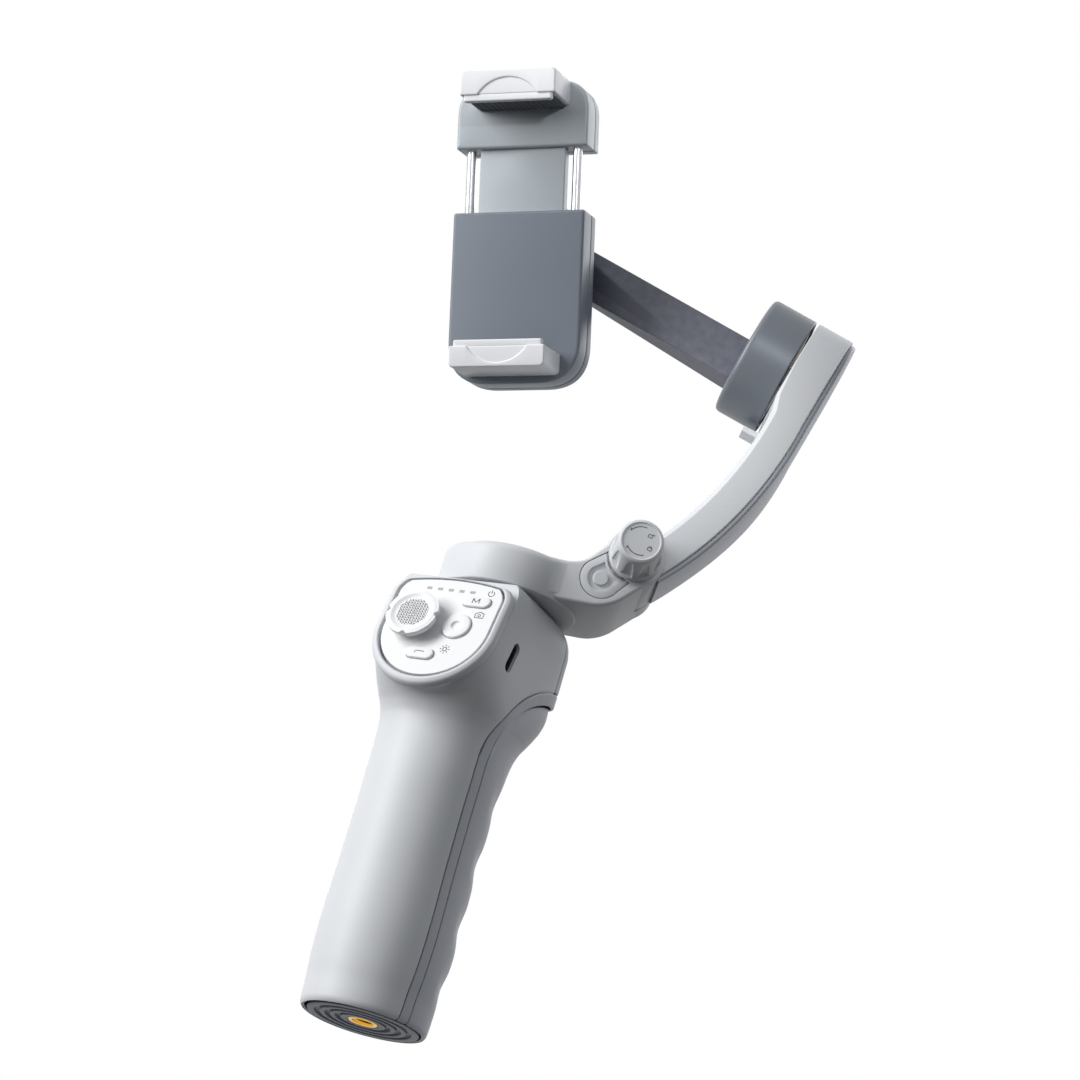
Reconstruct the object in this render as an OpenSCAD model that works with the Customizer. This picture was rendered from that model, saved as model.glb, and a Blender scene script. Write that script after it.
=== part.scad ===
// Folding three-axis stabiliser that a hand holds and a phone is clamped in.
// Millimetres. +Z runs up the handle, the control panel faces -Y, and the origin is
// the middle of the tripod socket's mouth in the handle's foot.
// Each arm is drawn in a frame of its own: +X away from the pan axis, -Y to its front.

/* [Handle] */
// Height of the handle from its foot to the top of the head
handle_h = 133; // [120:1:150]
// Half of the grip's width
grip_hw = 19.6; // [18:0.1:22]
// Depth of the grip in front of its axis
grip_front = 20.6; // [18:0.1:23]
// Depth of the grip behind its axis
grip_rear = 19.4; // [18:0.1:22]
// Half of the head's width at its front
head_hw = 20.3; // [19:0.1:23]
// Depth of the head in front of the axis, before its face is cut
head_front = 30; // [26:0.5:33]
// Depth of the head behind the axis
head_rear = 28; // [24:0.5:32]
// Share by which the head widens toward its back
head_flare_share = 0.1; // [0:0.02:0.16]
// Depth of the finger waves down the back of the grip
wave_d = 0.9; // [0:0.1:1.6]
// Distance from one finger wave to the next
wave_pitch = 19.4; // [16:0.2:24]
// Height of the lowest finger wave
wave_z = 34; // [28:0.5:40]
// Radius of the hollow inside the grip
hollow_r = 16.2; // [14:0.1:16.6]
// Open line between two shells
seam_gap = 0.25; // [0.1:0.05:0.5]

/* [Seams] */
// How far in front of the axis the front seam runs up the grip
front_seam_y = 10; // [8:0.5:13]
// How far in front of the axis the rear seam runs up the grip
rear_seam_y = 6.6; // [4:0.2:7.4]
// How far under the head's top the seams start to curve to the back
seam_turn_down = 52; // [44:1:62]
// How far under the head's top the front seam reaches the back
front_seam_down = 18.5; // [14:0.5:24]
// How far under the head's top the rear seam reaches the back
rear_seam_down = 23; // [20:0.5:29]
// How far behind the axis the head's rear cover starts
cover_seam_y = 18; // [14:0.5:22]

/* [Foot] */
// Radius of the ribbed cap in the foot
foot_cap_r = 16.8; // [15:0.1:17.2]
// Thickness of the ribbed cap
foot_cap_t = 3; // [2.4:0.1:4]
// Depth of its ring grooves
foot_groove_d = 0.9; // [0.4:0.1:1.4]
// Number of its ring grooves
foot_grooves = 3; // [2:1:4]
// Outer radius of the tripod insert
insert_r = 4.4; // [4:0.1:5]
// Bore radius of the tripod insert, for a quarter-inch thread
socket_r = 3.2; // [3:0.05:3.3]
// Length of the tripod insert
insert_len = 10; // [8:0.5:14]

/* [Control panel] */
// Angle by which the panel leans back
panel_tilt = 15; // [8:1:20]
// How far under the head's top the panel's middle lies
panel_down = 23; // [20:0.5:28]
// How far in front of the axis the panel's middle lies
panel_y = 26.5; // [25:0.5:28]
// Half of the panel's width
panel_hw = 16.9; // [15:0.1:17.4]
// Top edge of the panel above its middle
panel_up = 21.6; // [18:0.2:22.4]
// Middle of the panel's round lower end above its middle
panel_round_w = 3.7; // [2:0.1:5]
// Radius of the panel's upper corners
panel_corner = 6.5; // [3:0.5:8]
// Rise of the panel's top edge from its corners to its middle
panel_crown = 2; // [0.6:0.1:3]
// Thickness of the panel
panel_t = 2.2; // [1.6:0.1:2.6]
// How far the panel's face lies below the rim
panel_sunk = 0.3; // [0.1:0.1:0.6]
// Open groove round the panel
panel_groove = 0.8; // [0.4:0.1:1.2]
// Width of the rim round the groove
bezel_w = 2.4; // [1.8:0.1:2.8]
// Thickness of the rim
bezel_t = 3; // [2.6:0.1:3.4]
// Bevel along the outer edge of the rim
bezel_bevel = 1.3; // [0.6:0.1:1.6]

/* [Thumb stick] */
// Place of the stick across the panel
stick_x = -7.2; // [-7.6:0.1:-7]
// Place of the stick up the panel
stick_w = 5.8; // [5.4:0.1:6.6]
// Radius of the stick's cap
stick_r = 8.1; // [7.2:0.1:8.3]
// Thickness of the cap
stick_cap_t = 2.2; // [2:0.1:3]
// Free height under the cap
stick_free = 1.9; // [1.5:0.1:2.2]
// Depth of the stick's pivot under the panel's plane
stick_pivot = 4; // [3.6:0.1:4.4]
// Radius of the stick's two cross pins
stick_pin_r = 0.9; // [0.8:0.05:1]

/* [Buttons] */
// Length of the mode button
mode_len = 9.2; // [8:0.1:10]
// Length of the light button
light_len = 8.8; // [8:0.1:10]
// Height of both long buttons
pill_h = 3.9; // [3.4:0.1:4.4]
// Radius of the round shutter button
shutter_r = 4.5; // [4:0.1:4.8]
// How far a button stands out
button_out = 0.5; // [0.3:0.1:0.8]
// How far a button goes down
button_travel = 0.6; // [0.4:0.1:0.8]

/* [Pan arm] */
// Angle of the pan arm to the handle as it is drawn
pan_rest = 28; // [0:1:60]
// Radius of the arm's base round the pan axis
pan_r = 15.9; // [15:0.1:17]
// Radius of the base where it is widest
swell_r = 20.7; // [19:0.1:21.5]
// How far in front of the pan axis that widest part lies
swell_x = 6.5; // [5:0.1:8]
// Height of the base
pan_h = 12.9; // [11.5:0.1:14]
// Gap between the head and the base
pan_gap = 0.9; // [0.6:0.1:1.4]
// Radius of the pan shaft
pan_shaft_r = 4; // [3.5:0.1:5]
// Distance from the pan axis to the fold hinge
hinge_x = 39; // [37:0.5:43]
// Height of the fold hinge above the top of the base
hinge_up = 7.3; // [6.6:0.1:9]
// Radius of the hinge's round cheeks
hinge_r = 9.2; // [8.6:0.1:9.6]
// Depth of the hinge block from front to back
block_d = 34; // [32:0.5:36]
// Thickness of the front cheek
front_cheek = 2; // [1.8:0.1:3]
// Thickness of the rear cheek
rear_cheek = 9; // [7:0.5:10]
// Radius of the hollow between the base and the block
neck_r = 10; // [6:0.5:14]
// Radius of the hinge pin
hinge_pin_r = 3; // [2.6:0.1:3.4]

/* [Lock knob] */
// Length of the knob
knob_len = 14.6; // [12:0.2:17]
// Radius of the knob's foot
knob_foot_r = 8; // [7.4:0.1:8.4]
// Radius of the knob's top
knob_top_r = 6.4; // [5.8:0.1:7]
// Number of its flutes
knob_flutes = 9; // [8:1:14]
// Radius of one flute
flute_r = 1.3; // [1:0.1:1.6]

/* [Curved arm] */
// Radius of the arm's middle line
arm_bend_r = 118; // [113:0.5:124]
// How far the fold hinge lies inside that line
arm_lead = 3.7; // [1.5:0.1:4.5]
// Angle of the arm's lower end on that line
arm_from = -44.2; // [-46:0.1:-42]
// Angle of the arm's upper end on that line
arm_to = -11.7; // [-13:0.1:-10]
// Thickness of the arm
arm_t = 12; // [10:0.5:13]
// Thickness of the cover strip on its outer side
strip_t = 1.5; // [1:0.1:2]
// Bevel along the arm's edges
arm_bevel = 1.4; // [0.8:0.1:2]

/* [Tilt motor] */
// Radius of the tilt drum
tilt_r = 19.4; // [17.5:0.1:21]
// Angle of the tilt axis above the level
tilt_lean = 14.3; // [10:0.1:20]
// Length of the drum's outer half
tilt_outer = 13.8; // [12.6:0.2:15]
// Length of the drum's inner half
tilt_inner = 14.7; // [12:0.1:16]
// Gap between the halves
tilt_gap = 1; // [0.6:0.1:1.4]
// Wall of the drum's halves
drum_wall = 2; // [1.5:0.1:2.6]
// Radius of the tilt and roll shafts
motor_shaft_r = 3.5; // [3:0.1:4]

/* [Roll arm] */
// Radius of the roll motor's can
roll_can_r = 15; // [13:0.5:16]
// Length of the roll motor's can
roll_can_t = 12; // [10:0.5:14]
// Gap between the can and the clamp
roll_gap = 0.8; // [0.6:0.1:1.2]
// Width of the plate that carries the can
plate_w = 14.5; // [12:0.5:18]
// Thickness of that plate
plate_t = 5; // [4:0.2:6]

/* [Clamp] */
// Where the clamp's middle lies along the arm frame's X
clamp_x = -24; // [-26:0.5:-22]
// Where the clamp's middle lies along the arm frame's Y
clamp_y = 0.4; // [-1:0.1:2]
// Height of the clamp's middle above the tilt axis' crossing with the drum
clamp_up = 22.7; // [20:0.1:25]
// Turns of the clamp about X, Y and Z
clamp_turn = [15.8, -8.7, -22.3]; // [-30:0.1:30]
// How far the body's front lies behind the clamp's middle
body_front = 2.1; // [1:0.1:4]
// Free width between the pads as it is drawn
jaw_gap = 78; // [66:1:86]
// Width of a jaw
jaw_w = 31; // [28:0.5:36]
// Height of a jaw's front
jaw_h = 6.7; // [6:0.1:8]
// Depth of a jaw in front of the clamp's body
jaw_d = 16.3; // [14:0.1:19]
// Height of the lip that holds the phone's edge
lip_h = 2; // [1.5:0.1:3]
// Depth of that lip
lip_d = 2.6; // [2:0.1:3.4]
// Thickness of the rubber pads
pad_t = 1; // [0.6:0.1:1.4]
// Width of the clamp's body
body_w = 43; // [40:0.5:48]
// Thickness of the body's front shell
body_t = 8; // [7:0.5:9]
// Thickness of its back cover
back_t = 5.6; // [4:0.2:7]
// Radius of the body's outer corners
body_corner = 10; // [6:0.5:12]
// How far the body reaches past the back of the jaws
body_past = 1.5; // [1:0.5:4]
// How far the upper half still closes
close_by = 20; // [16:1:22]
// How far the upper half still opens
open_by = 8; // [4:1:10]
// Radius of the two guide rods
rod_r = 1.5; // [1.2:0.1:1.8]

/* [Hidden] */

over = 1;              // every cut runs this far past what it cuts
fit = 0.05;            // radial play of a shaft in its bore
slide = 0.15;          // play round a button or a slide
shaft_end = 1;         // a shaft stops this far short of its housing's end
small_fn = 32;
round_fn = 96;

shell_c = [0.84, 0.85, 0.87];
grey_c = [0.55, 0.56, 0.60];
dark_c = [0.25, 0.26, 0.30];
white_c = [0.92, 0.92, 0.93];

// Handle: where the waves start, how far round the back they reach, and its inner walls
wave_start = 16;
wave_edge_share = 0.35;
roof_t = 2;
head_room = 3;

// Foot
insert_floor = 2;

// Panel: the ledge and the opening behind it, and what stands on it
ledge_w = 2;
ledge_t = 0.5;
window_d = 11;
usb_w = 5;
usb_back = 12.5;
usb_len = 9.8;
usb_h = 3.6;
usb_lip = 0.6;
usb_depth = 7;
mode_at = [9.3, 14.6];
shutter_at = [6.4, 5.2];
light_at = [-1.2, -5.9];
lights_at = [-0.6, 18];
lights_step = 3.6;
light_w = 1.6;
light_h = 0.9;
light_bar_t = 1;
flange_t = 0.7;
flange_w = 0.5;

// Inside of the handle
battery_r = 9.2;
battery_h = 65;
battery_z = 14;
cell_cap = 1;
rail_t = 1.6;
board_t = 1.2;
board_in = 4;
board_z = -6.2;
board_play = 0.4;
main_board_y = 12.2;
switch_r = 1.4;

// Thumb stick: its cup, the ring that it rocks in, and its stem
stick_cup_r = 7.4;
stick_cup_h = 4.2;
cup_skin = 0.3;
stick_hole_r = 5;
ring_r = 4.95;
ring_in = 3.7;
ring_h = 2.6;
ring_play = 0.9;
ring_room = 3;
stem_r = 2.3;
cap_edge = 0.5;
notch_r = 1.5;

// Pan motor and its bearing
stator_down = 21;
coil_r = 12.2;
coil_h = 8.6;
coil_slot = 1.2;
coil_play = 1;
bearing_wall = 4;

// Edges of the arm's base, and the block's outline as shares of its reach and rise
base_edge = 0.6;
base_round = 3;
block_low = 1.4;
neck_bite = 0.02;
tongue_play = 0.35;
pin_wall = 2;
under_shares = [[0, 0], [0.44, 0.018], [0.836, 0.157], [0.949, 0.35]];
top_shares = [[0.708, 0.767], [0.641, 0.3], [0.538, 0.068]];
inlay_t = 0.8;
inlay_r = 5;
inlay_hw = 4.4;
inlay_gap = 0.5;
boss_dx = 8.2;
boss_dz = -9.5;
boss_r = 2;
boss_up = 0.5;
bush_t = 2;

// Lock knob
knob_edge = 0.4;
knob_foot_h = 1.6;
knob_step = 0.5;
knob_round = 0.9;
knob_dip = 0.3;
knob_cap = 3;
flute_lean = 1.5;

// Curved arm: edges, cover strip and the tab under the tilt motor
arm_edge = 0.3;
arm_start = 1.4;
strip_edge = 0.5;
strip_side = 1;
strip_gap = 0.5;
tab_gap = 2.6;
tab_t = 1.9;
tab_len = 5.7;
tab_w = 6.4;
arm_n = 14;

// Motors
drum_round = 1.6;
stator_play = 2;
rotor_t = 3;
can_edge = 1.2;
plate_back = 5;

// Clamp
part_groove = 0.5;
part_in = 1;
part_gap = 0.4;
tongue_in = 2;
tongue_t = 4;
tongue_floor = 4;
rod_in = 4;
rod_hold = 10;
jaw_edge = 1.2;
pad_side = 2;
pad_gap = 0.2;
thumb_r = 11.5;
thumb_up = 6.2;
thumb_d = 0.5;

// Rows up the handle: height as a share of handle_h, swell of the grip, how much of the
// head's front and of the head's back has taken over, and how square the section is.
handle_rows_share = [
    [0.000, 0.925, 0.00, 0.00, 2.05], [0.009, 0.957, 0.00, 0.00, 2.05],
    [0.060, 0.975, 0.00, 0.00, 2.05], [0.095, 0.995, 0.00, 0.00, 2.05],
    [0.130, 1.008, 0.00, 0.00, 2.05], [0.165, 1.016, 0.00, 0.00, 2.05],
    [0.200, 1.020, 0.00, 0.00, 2.05], [0.235, 1.018, 0.00, 0.00, 2.05],
    [0.270, 1.015, 0.00, 0.00, 2.05], [0.305, 1.010, 0.00, 0.00, 2.05],
    [0.340, 1.005, 0.00, 0.00, 2.05], [0.375, 1.003, 0.00, 0.00, 2.05],
    [0.410, 1.002, 0.00, 0.00, 2.05], [0.445, 1.001, 0.00, 0.00, 2.05],
    [0.480, 1.000, 0.00, 0.01, 2.05], [0.515, 1.000, 0.00, 0.03, 2.05],
    [0.550, 0.998, 0.00, 0.07, 2.08], [0.590, 0.992, 0.00, 0.14, 2.10],
    [0.630, 0.985, 0.01, 0.25, 2.15], [0.665, 0.980, 0.06, 0.40, 2.25],
    [0.692, 0.985, 0.20, 0.52, 2.45], [0.716, 0.995, 0.42, 0.64, 2.80],
    [0.740, 1.000, 0.66, 0.76, 3.20], [0.765, 1.000, 0.85, 0.88, 3.70],
    [0.795, 1.000, 0.97, 0.98, 4.30], [0.830, 1.000, 1.00, 1.00, 4.80],
    [0.900, 1.000, 1.00, 1.00, 5.00], [0.940, 1.000, 1.00, 1.00, 5.00],
    [0.965, 0.984, 1.00, 1.00, 4.90], [0.982, 0.956, 1.00, 0.98, 4.70],
    [0.994, 0.918, 1.00, 0.95, 4.50], [1.000, 0.880, 1.00, 0.92, 4.40]];
ring_n = 44;

panel_z = handle_h - panel_down;
seam_turn_z = handle_h - seam_turn_down;
front_seam_top = handle_h - front_seam_down;
rear_seam_top = handle_h - rear_seam_down;
crown_r = (panel_hw * panel_hw + panel_crown * panel_crown) / (2 * panel_crown);
bezel_hw = panel_hw + panel_groove + bezel_w;
flange_z = -panel_sunk - panel_t - slide - flange_t;
bearing_r = pan_shaft_r + bearing_wall;
stator_z = handle_h - stator_down;
pan_z = handle_h + pan_gap;
pan_top = pan_z + pan_h;
hinge_z = pan_top + hinge_up;
tongue_front = -block_d / 2 + front_cheek;
tongue_rear = block_d / 2 - rear_cheek;
neck_y = block_d / 2 + neck_r;
neck_x = swell_x + sqrt(pow(swell_r + neck_r, 2) - neck_y * neck_y);
arm_cx = hinge_x - (arm_bend_r - arm_lead) * cos(arm_from);
arm_cz = hinge_z - (arm_bend_r - arm_lead) * sin(arm_from);
arm_out = arm_t / 2 - strip_t - fit;
arm_wide_from = arm_from + (hinge_r + arm_start) / arm_bend_r * 180 / PI;
tilt_mid = tilt_outer - arm_t / 2;
tilt_x = arm_cx + arm_bend_r * cos(arm_to) + tilt_r * sin(tilt_lean) - tilt_mid * cos(tilt_lean);
tilt_z = arm_cz + arm_bend_r * sin(arm_to) + tilt_r * cos(tilt_lean) + tilt_mid * sin(tilt_lean);
tilt_floor = strip_t + fit - tilt_outer;
can_y = body_front + body_t + back_t + roll_gap;
jaw_top = jaw_gap / 2 + pad_t;
body_end = jaw_top + jaw_h + body_past;
shut_edge = jaw_top - 2 * jaw_h - close_by;
upper_edge = shut_edge + close_by + part_gap;
tongue_y = body_front + tongue_t / 2;
tongue_foot = -body_end + tongue_floor;
rod_x = body_w / 2 - rod_in;
tongue_hw = rod_x - rod_r - tongue_in;
rod_y = body_front + body_t / 2;
rod_foot = -body_end + body_corner;

// A superellipse's power that keeps its sign
function spow(v, e) = sign(v) * pow(abs(v), e);

// A share that starts and ends softly
function soft_share(v) = let (s = min(1, max(0, v))) s * s * (3 - 2 * s);

// Depth of the finger waves at a height
function wave_at(z) = wave_d * min(1, max(0, z / wave_start))
    * pow((1 + cos(360 * (z - wave_z) / wave_pitch)) / 2, 1.5);

// One section of the handle, point by point, anticlockwise from +X
function handle_ring(row) =
    let (z = row[0] * handle_h,
         a = (grip_hw * (1 - row[3]) + head_hw * row[3]) * row[1],
         f = (grip_front * (1 - row[2]) + head_front * row[2]) * row[1],
         b = (grip_rear * (1 - row[3]) + head_rear * row[3]) * row[1],
         wave = wave_at(z) * (1 - min(1, row[3] * 4)))
    [for (i = [0:ring_n - 1])
        let (t = 360 * i / ring_n,
             y0 = spow(sin(t), 2 / row[4]),
             y = y0 < 0 ? y0 * f : y0 * b,
             w = 1 + head_flare_share * row[3] * (y + f) / (b + f),
             x = a * w * spow(cos(t), 2 / row[4]),
             k = 1 - wave * soft_share(y0 / wave_edge_share) / norm([x, y]))
        [x * k, y * k, z]];

// A closed skin over equal rings of points
module loft(rings) {
    n = len(rings[0]);
    m = len(rings);
    polyhedron(
        points = [for (r = rings) each r],
        faces = concat(
            [[for (i = [0:n - 1]) i]],
            [for (k = [0:m - 2], i = [0:n - 1]) let (j = (i + 1) % n)
                [k * n + i, (k + 1) * n + i, (k + 1) * n + j]],
            [for (k = [0:m - 2], i = [0:n - 1]) let (j = (i + 1) % n)
                [k * n + i, (k + 1) * n + j, k * n + j]],
            [[for (i = [n - 1:-1:0]) (m - 1) * n + i]]),
        convexity = 4);
}

module handle_loft() loft([for (row = handle_rows_share) handle_ring(row)]);

// A cylinder that starts at a height
module post(r, z0, z1, fn = round_fn) translate([0, 0, z0]) cylinder(r = r, h = z1 - z0, $fn = fn);

// Everything behind a seam: up the grip at y = -from_y, then a quarter ellipse to the back
module behind_seam(from_y, top_z, grow) {
    rise = top_z - seam_turn_z;
    run = head_rear + from_y;
    rotate([90, 0, 90]) linear_extrude(height = 4 * head_hw, center = true)
        polygon(concat(
            [[head_rear + over, -over], [-from_y + grow, -over]],
            [for (t = [0:7.5:90]) [-from_y + grow + run * (1 - cos(t)),
                                   seam_turn_z - grow / 2 + rise * sin(t)]],
            [[head_rear + 2 * over, top_z - grow]]));
}

// Hollow of the handle, with a floor and a roof left standing
module handle_hollow() {
    roof = handle_h - roof_t;
    post(hollow_r, foot_cap_t - seam_gap, roof);
    translate([-hollow_r, -hollow_r, panel_z - head_room])
        cube([2 * hollow_r, 2 * hollow_r + head_room, roof - panel_z + head_room]);
    post(foot_cap_r + seam_gap, -over, foot_cap_t);
}

// Moves into the panel's own frame: X across, Y up the panel, Z out of it
module on_panel() translate([0, -panel_y, panel_z]) rotate([90 - panel_tilt, 0, 0]) children();

// The panel's outline: round below, a low arch above with two round corners
module panel_shape(hw, up) intersection() {
    r = panel_corner * hw / panel_hw;
    translate([0, panel_up - crown_r]) circle(r = crown_r + up - panel_up, $fn = 2 * round_fn);
    union() {
        translate([0, panel_round_w]) circle(r = hw, $fn = round_fn);
        translate([-hw, panel_round_w]) square([2 * hw, up - r - panel_round_w]);
        translate([-hw + r, panel_round_w]) square([2 * (hw - r), up - panel_round_w]);
        for (s = [-1, 1]) translate([s * (hw - r), up - r]) circle(r = r, $fn = small_fn);
    }
}

// A bar with round ends
module pill(len, h) {
    square([len - h, h], center = true);
    for (s = [-1, 1]) translate([s * (len - h) / 2, 0]) circle(d = h, $fn = small_fn);
}

// Everything in front of the plane on which the rim lies
module before_rim() on_panel() translate([-2 * head_hw, -2 * head_hw, -bezel_t])
    cube([4 * head_hw, 4 * head_hw, 2 * head_front]);

module usb_place() on_panel() translate([head_hw, usb_w, -usb_back]) rotate([0, 90, 0])
    rotate(90) children();

module at_stick() on_panel() translate([stick_x, stick_w, -stick_pivot]) children();

// Part of the head that the rear cover takes, grown by half a seam
module rear_cover_space(grow) translate([-2 * head_hw, cover_seam_y - grow, seam_turn_z])
    cube([4 * head_hw, head_rear, handle_h]);

module front_shell() color(shell_c) difference() {
    handle_loft();
    behind_seam(front_seam_y, front_seam_top, 0);
    rear_cover_space(seam_gap);
    handle_hollow();
    before_rim();
    on_panel() translate([0, 0, -window_d - bezel_t]) linear_extrude(height = window_d + over)
        panel_shape(panel_hw - ledge_w, panel_up - ledge_w);
    usb_place() translate([0, 0, -usb_depth - slide]) linear_extrude(height = usb_depth + 4 * over)
        pill(usb_len + 2 * fit, usb_h + 2 * fit);
    at_stick() post(stick_cup_r + 2 * slide, -stick_cup_h - slide, 2 * stick_cup_h);
    post(bearing_r + fit, handle_h - roof_t - over, handle_h + over);
}

module side_band() color(grey_c) difference() {
    intersection() {
        handle_loft();
        behind_seam(front_seam_y, front_seam_top, seam_gap);
    }
    behind_seam(rear_seam_y, rear_seam_top, 0);
    handle_hollow();
    translate([-2 * head_hw, cover_seam_y, rear_seam_top + (front_seam_top - rear_seam_top) * 0.9])
        cube([4 * head_hw, head_rear, handle_h]);
}

module rear_grip() color(grey_c) difference() {
    intersection() {
        handle_loft();
        behind_seam(rear_seam_y, rear_seam_top, seam_gap);
    }
    handle_hollow();
}

module head_rear_cover() color(grey_c) difference() {
    intersection() {
        handle_loft();
        rear_cover_space(0);
    }
    behind_seam(front_seam_y, front_seam_top + over, 0);
    handle_hollow();
}

module foot_cap() color(dark_c) {
    step = (foot_cap_r - insert_r) * 0.92 / (foot_grooves + 0.5);
    difference() {
        post(foot_cap_r, 0, foot_cap_t - seam_gap);
        post(insert_r + fit, -over, foot_cap_t + over, 2 * small_fn);
        for (k = [1:foot_grooves]) difference() {
            post(insert_r + k * step + step / 4, -over, foot_groove_d);
            post(insert_r + k * step - step / 4, -2 * over, foot_groove_d + over);
        }
    }
}

module tripod_insert() color("goldenrod") difference() {
    post(insert_r, 0, insert_len, 2 * small_fn);
    post(socket_r, -over, insert_len - insert_floor, 2 * small_fn);
}

module panel_bezel() color(shell_c) difference() {
    on_panel() difference() {
        hull() {
            translate([0, 0, -bezel_t]) linear_extrude(height = bezel_t - bezel_bevel)
                panel_shape(bezel_hw, panel_up + bezel_w / 2);
            translate([0, 0, -bezel_t]) linear_extrude(height = bezel_t)
                panel_shape(bezel_hw - bezel_bevel, panel_up + (bezel_w - bezel_bevel) / 2);
        }
        translate([0, 0, ledge_t - bezel_t]) linear_extrude(height = bezel_t + over)
            panel_shape(panel_hw + panel_groove, panel_up + panel_groove / 2);
        translate([0, 0, -bezel_t - over]) linear_extrude(height = bezel_t)
            panel_shape(panel_hw - ledge_w, panel_up - ledge_w);
    }
    at_stick() post(stick_cup_r + slide, -stick_cup_h, 2 * stick_cup_h);
}

// Places of the five charge lights
module at_lights() for (k = [-2:2]) translate([lights_at[0] + k * lights_step, lights_at[1]]) children();

module control_panel() color(white_c) on_panel() translate([0, 0, -panel_sunk - panel_t])
    linear_extrude(height = panel_t) difference() {
        panel_shape(panel_hw, panel_up);
        translate([stick_x, stick_w]) circle(r = stick_hole_r, $fn = round_fn);
        translate(mode_at) pill(mode_len + 2 * slide, pill_h + 2 * slide);
        translate(light_at) pill(light_len + 2 * slide, pill_h + 2 * slide);
        translate(shutter_at) circle(r = shutter_r + slide, $fn = 2 * small_fn);
        at_lights() square([light_w + fit, light_h + fit], center = true);
    }

module charge_lights() color("white") on_panel() translate([0, 0, -panel_sunk - panel_t]) {
    linear_extrude(height = panel_t - fit) at_lights() square([light_w, light_h], center = true);
    translate([lights_at[0], lights_at[1], -light_bar_t / 2])
        cube([4 * lights_step + light_w, light_h, light_bar_t], center = true);
}

module usb_socket() color(dark_c) usb_place() translate([0, 0, -usb_depth]) difference() {
    linear_extrude(height = usb_depth * 0.94) pill(usb_len, usb_h);
    translate([0, 0, usb_lip]) linear_extrude(height = usb_depth) pill(usb_len - usb_lip, usb_h - usb_lip);
}

module battery_cell() color("seagreen") {
    post(battery_r, battery_z, battery_z + battery_h - cell_cap, 2 * small_fn);
    post(battery_r / 3, battery_z, battery_z + battery_h, small_fn);
}

module battery_holder() color(dark_c) {
    post(hollow_r - fit, insert_len, battery_z - fit, 2 * small_fn);
    translate([-hollow_r * 0.6, battery_r + fit, insert_len]) cube([hollow_r * 1.2, rail_t, battery_h]);
}

module main_board() color("darkgreen") translate([-hollow_r / 2, main_board_y, battery_z])
    cube([hollow_r, board_t, battery_h * 1.3]);

module panel_board() color("darkgreen") on_panel() {
    translate([0, 0, board_z]) linear_extrude(height = board_t) difference() {
        panel_shape(panel_hw - board_in, panel_up - board_in * 1.5);
        translate([stick_x, stick_w]) circle(r = stick_cup_r + board_play, $fn = 2 * small_fn);
    }
    for (p = [mode_at, shutter_at, light_at]) translate(p)
        post(switch_r, board_z + board_t, flange_z - button_travel - fit, small_fn);
}

module stick_base() color(dark_c) at_stick() difference() {
    post(stick_cup_r, -stick_cup_h, stick_pivot - panel_sunk - panel_t - slide);
    post(ring_r + ring_play, -ring_room, 2 * stick_cup_h, 2 * small_fn);
    rotate([0, 90, 0]) cylinder(r = stick_pin_r + fit, h = 2 * (stick_cup_r - cup_skin), center = true,
        $fn = small_fn);
}

module stick_carrier() color(dark_c) at_stick() {
    difference() {
        cylinder(r = ring_r, h = ring_h, center = true, $fn = 2 * small_fn);
        cylinder(r = ring_in, h = ring_h + over, center = true, $fn = 2 * small_fn);
        rotate([90, 0, 0]) cylinder(r = stick_pin_r + fit, h = 4 * ring_r, center = true, $fn = small_fn);
    }
    for (s = [-1, 1]) rotate([0, s * 90, 0]) post(stick_pin_r, ring_r * 0.92, stick_cup_r - 2 * cup_skin,
        small_fn);
}

module stick_cap() color(white_c) at_stick() {
    top = stick_pivot + stick_free;
    difference() {
        union() {
            translate([0, 0, top]) rotate_extrude($fn = round_fn) polygon([
                [0, 0], [stick_r - cap_edge, 0], [stick_r, cap_edge], [stick_r, stick_cap_t - cap_edge * 1.4],
                [stick_r - cap_edge * 1.4, stick_cap_t], [stick_r * 0.7, stick_cap_t - cap_edge * 0.6],
                [0, stick_cap_t - cap_edge]]);
            post(stem_r, -ring_h * 0.42, top + cap_edge / 2, 48);
            rotate([90, 0, 0]) cylinder(r = stick_pin_r, h = 2 * (ring_r - cup_skin), center = true,
                $fn = small_fn);
        }
        for (q = [0:90:270]) rotate(q) translate([stick_r + notch_r * 0.45, 0, 0])
            post(notch_r, top - over, top + stick_cap_t + over, 24);
    }
}

// A button: a shape through the panel and a wider flange that stops behind it
module button(at, top) color(white_c) on_panel() translate([at[0], at[1], flange_z]) {
    linear_extrude(height = flange_t) children(1);
    linear_extrude(height = top - flange_z) children(0);
}
module mode_button() button(mode_at, button_out) {
    pill(mode_len, pill_h);
    pill(mode_len + 2 * flange_w, pill_h + 2 * flange_w);
}
module shutter_button() difference() {
    button(shutter_at, button_out) {
        circle(r = shutter_r, $fn = 2 * small_fn);
        circle(r = shutter_r + flange_w, $fn = 2 * small_fn);
    }
    on_panel() translate([shutter_at[0], shutter_at[1], button_out + shutter_r / 5])
        sphere(r = shutter_r / 3, $fn = small_fn);
}
module light_button() button(light_at, button_out) {
    pill(light_len, pill_h);
    pill(light_len + 2 * flange_w, pill_h + 2 * flange_w);
}

module pan_stator() color("peru") translate([0, 0, stator_z]) difference() {
    post(coil_r, 0, coil_h, 2 * small_fn);
    post(pan_shaft_r + coil_play, -over, coil_h + over, 2 * small_fn);
    for (q = [0:40:320]) rotate(q) translate([coil_r * 0.74, -coil_slot / 2, -over])
        cube([coil_r, coil_slot, coil_h + 2 * over]);
}
module pan_bearing() color("silver") difference() {
    post(bearing_r, stator_z + coil_h, handle_h, 2 * small_fn);
    post(pan_shaft_r + fit, stator_z, handle_h + over, 2 * small_fn);
}

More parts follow.
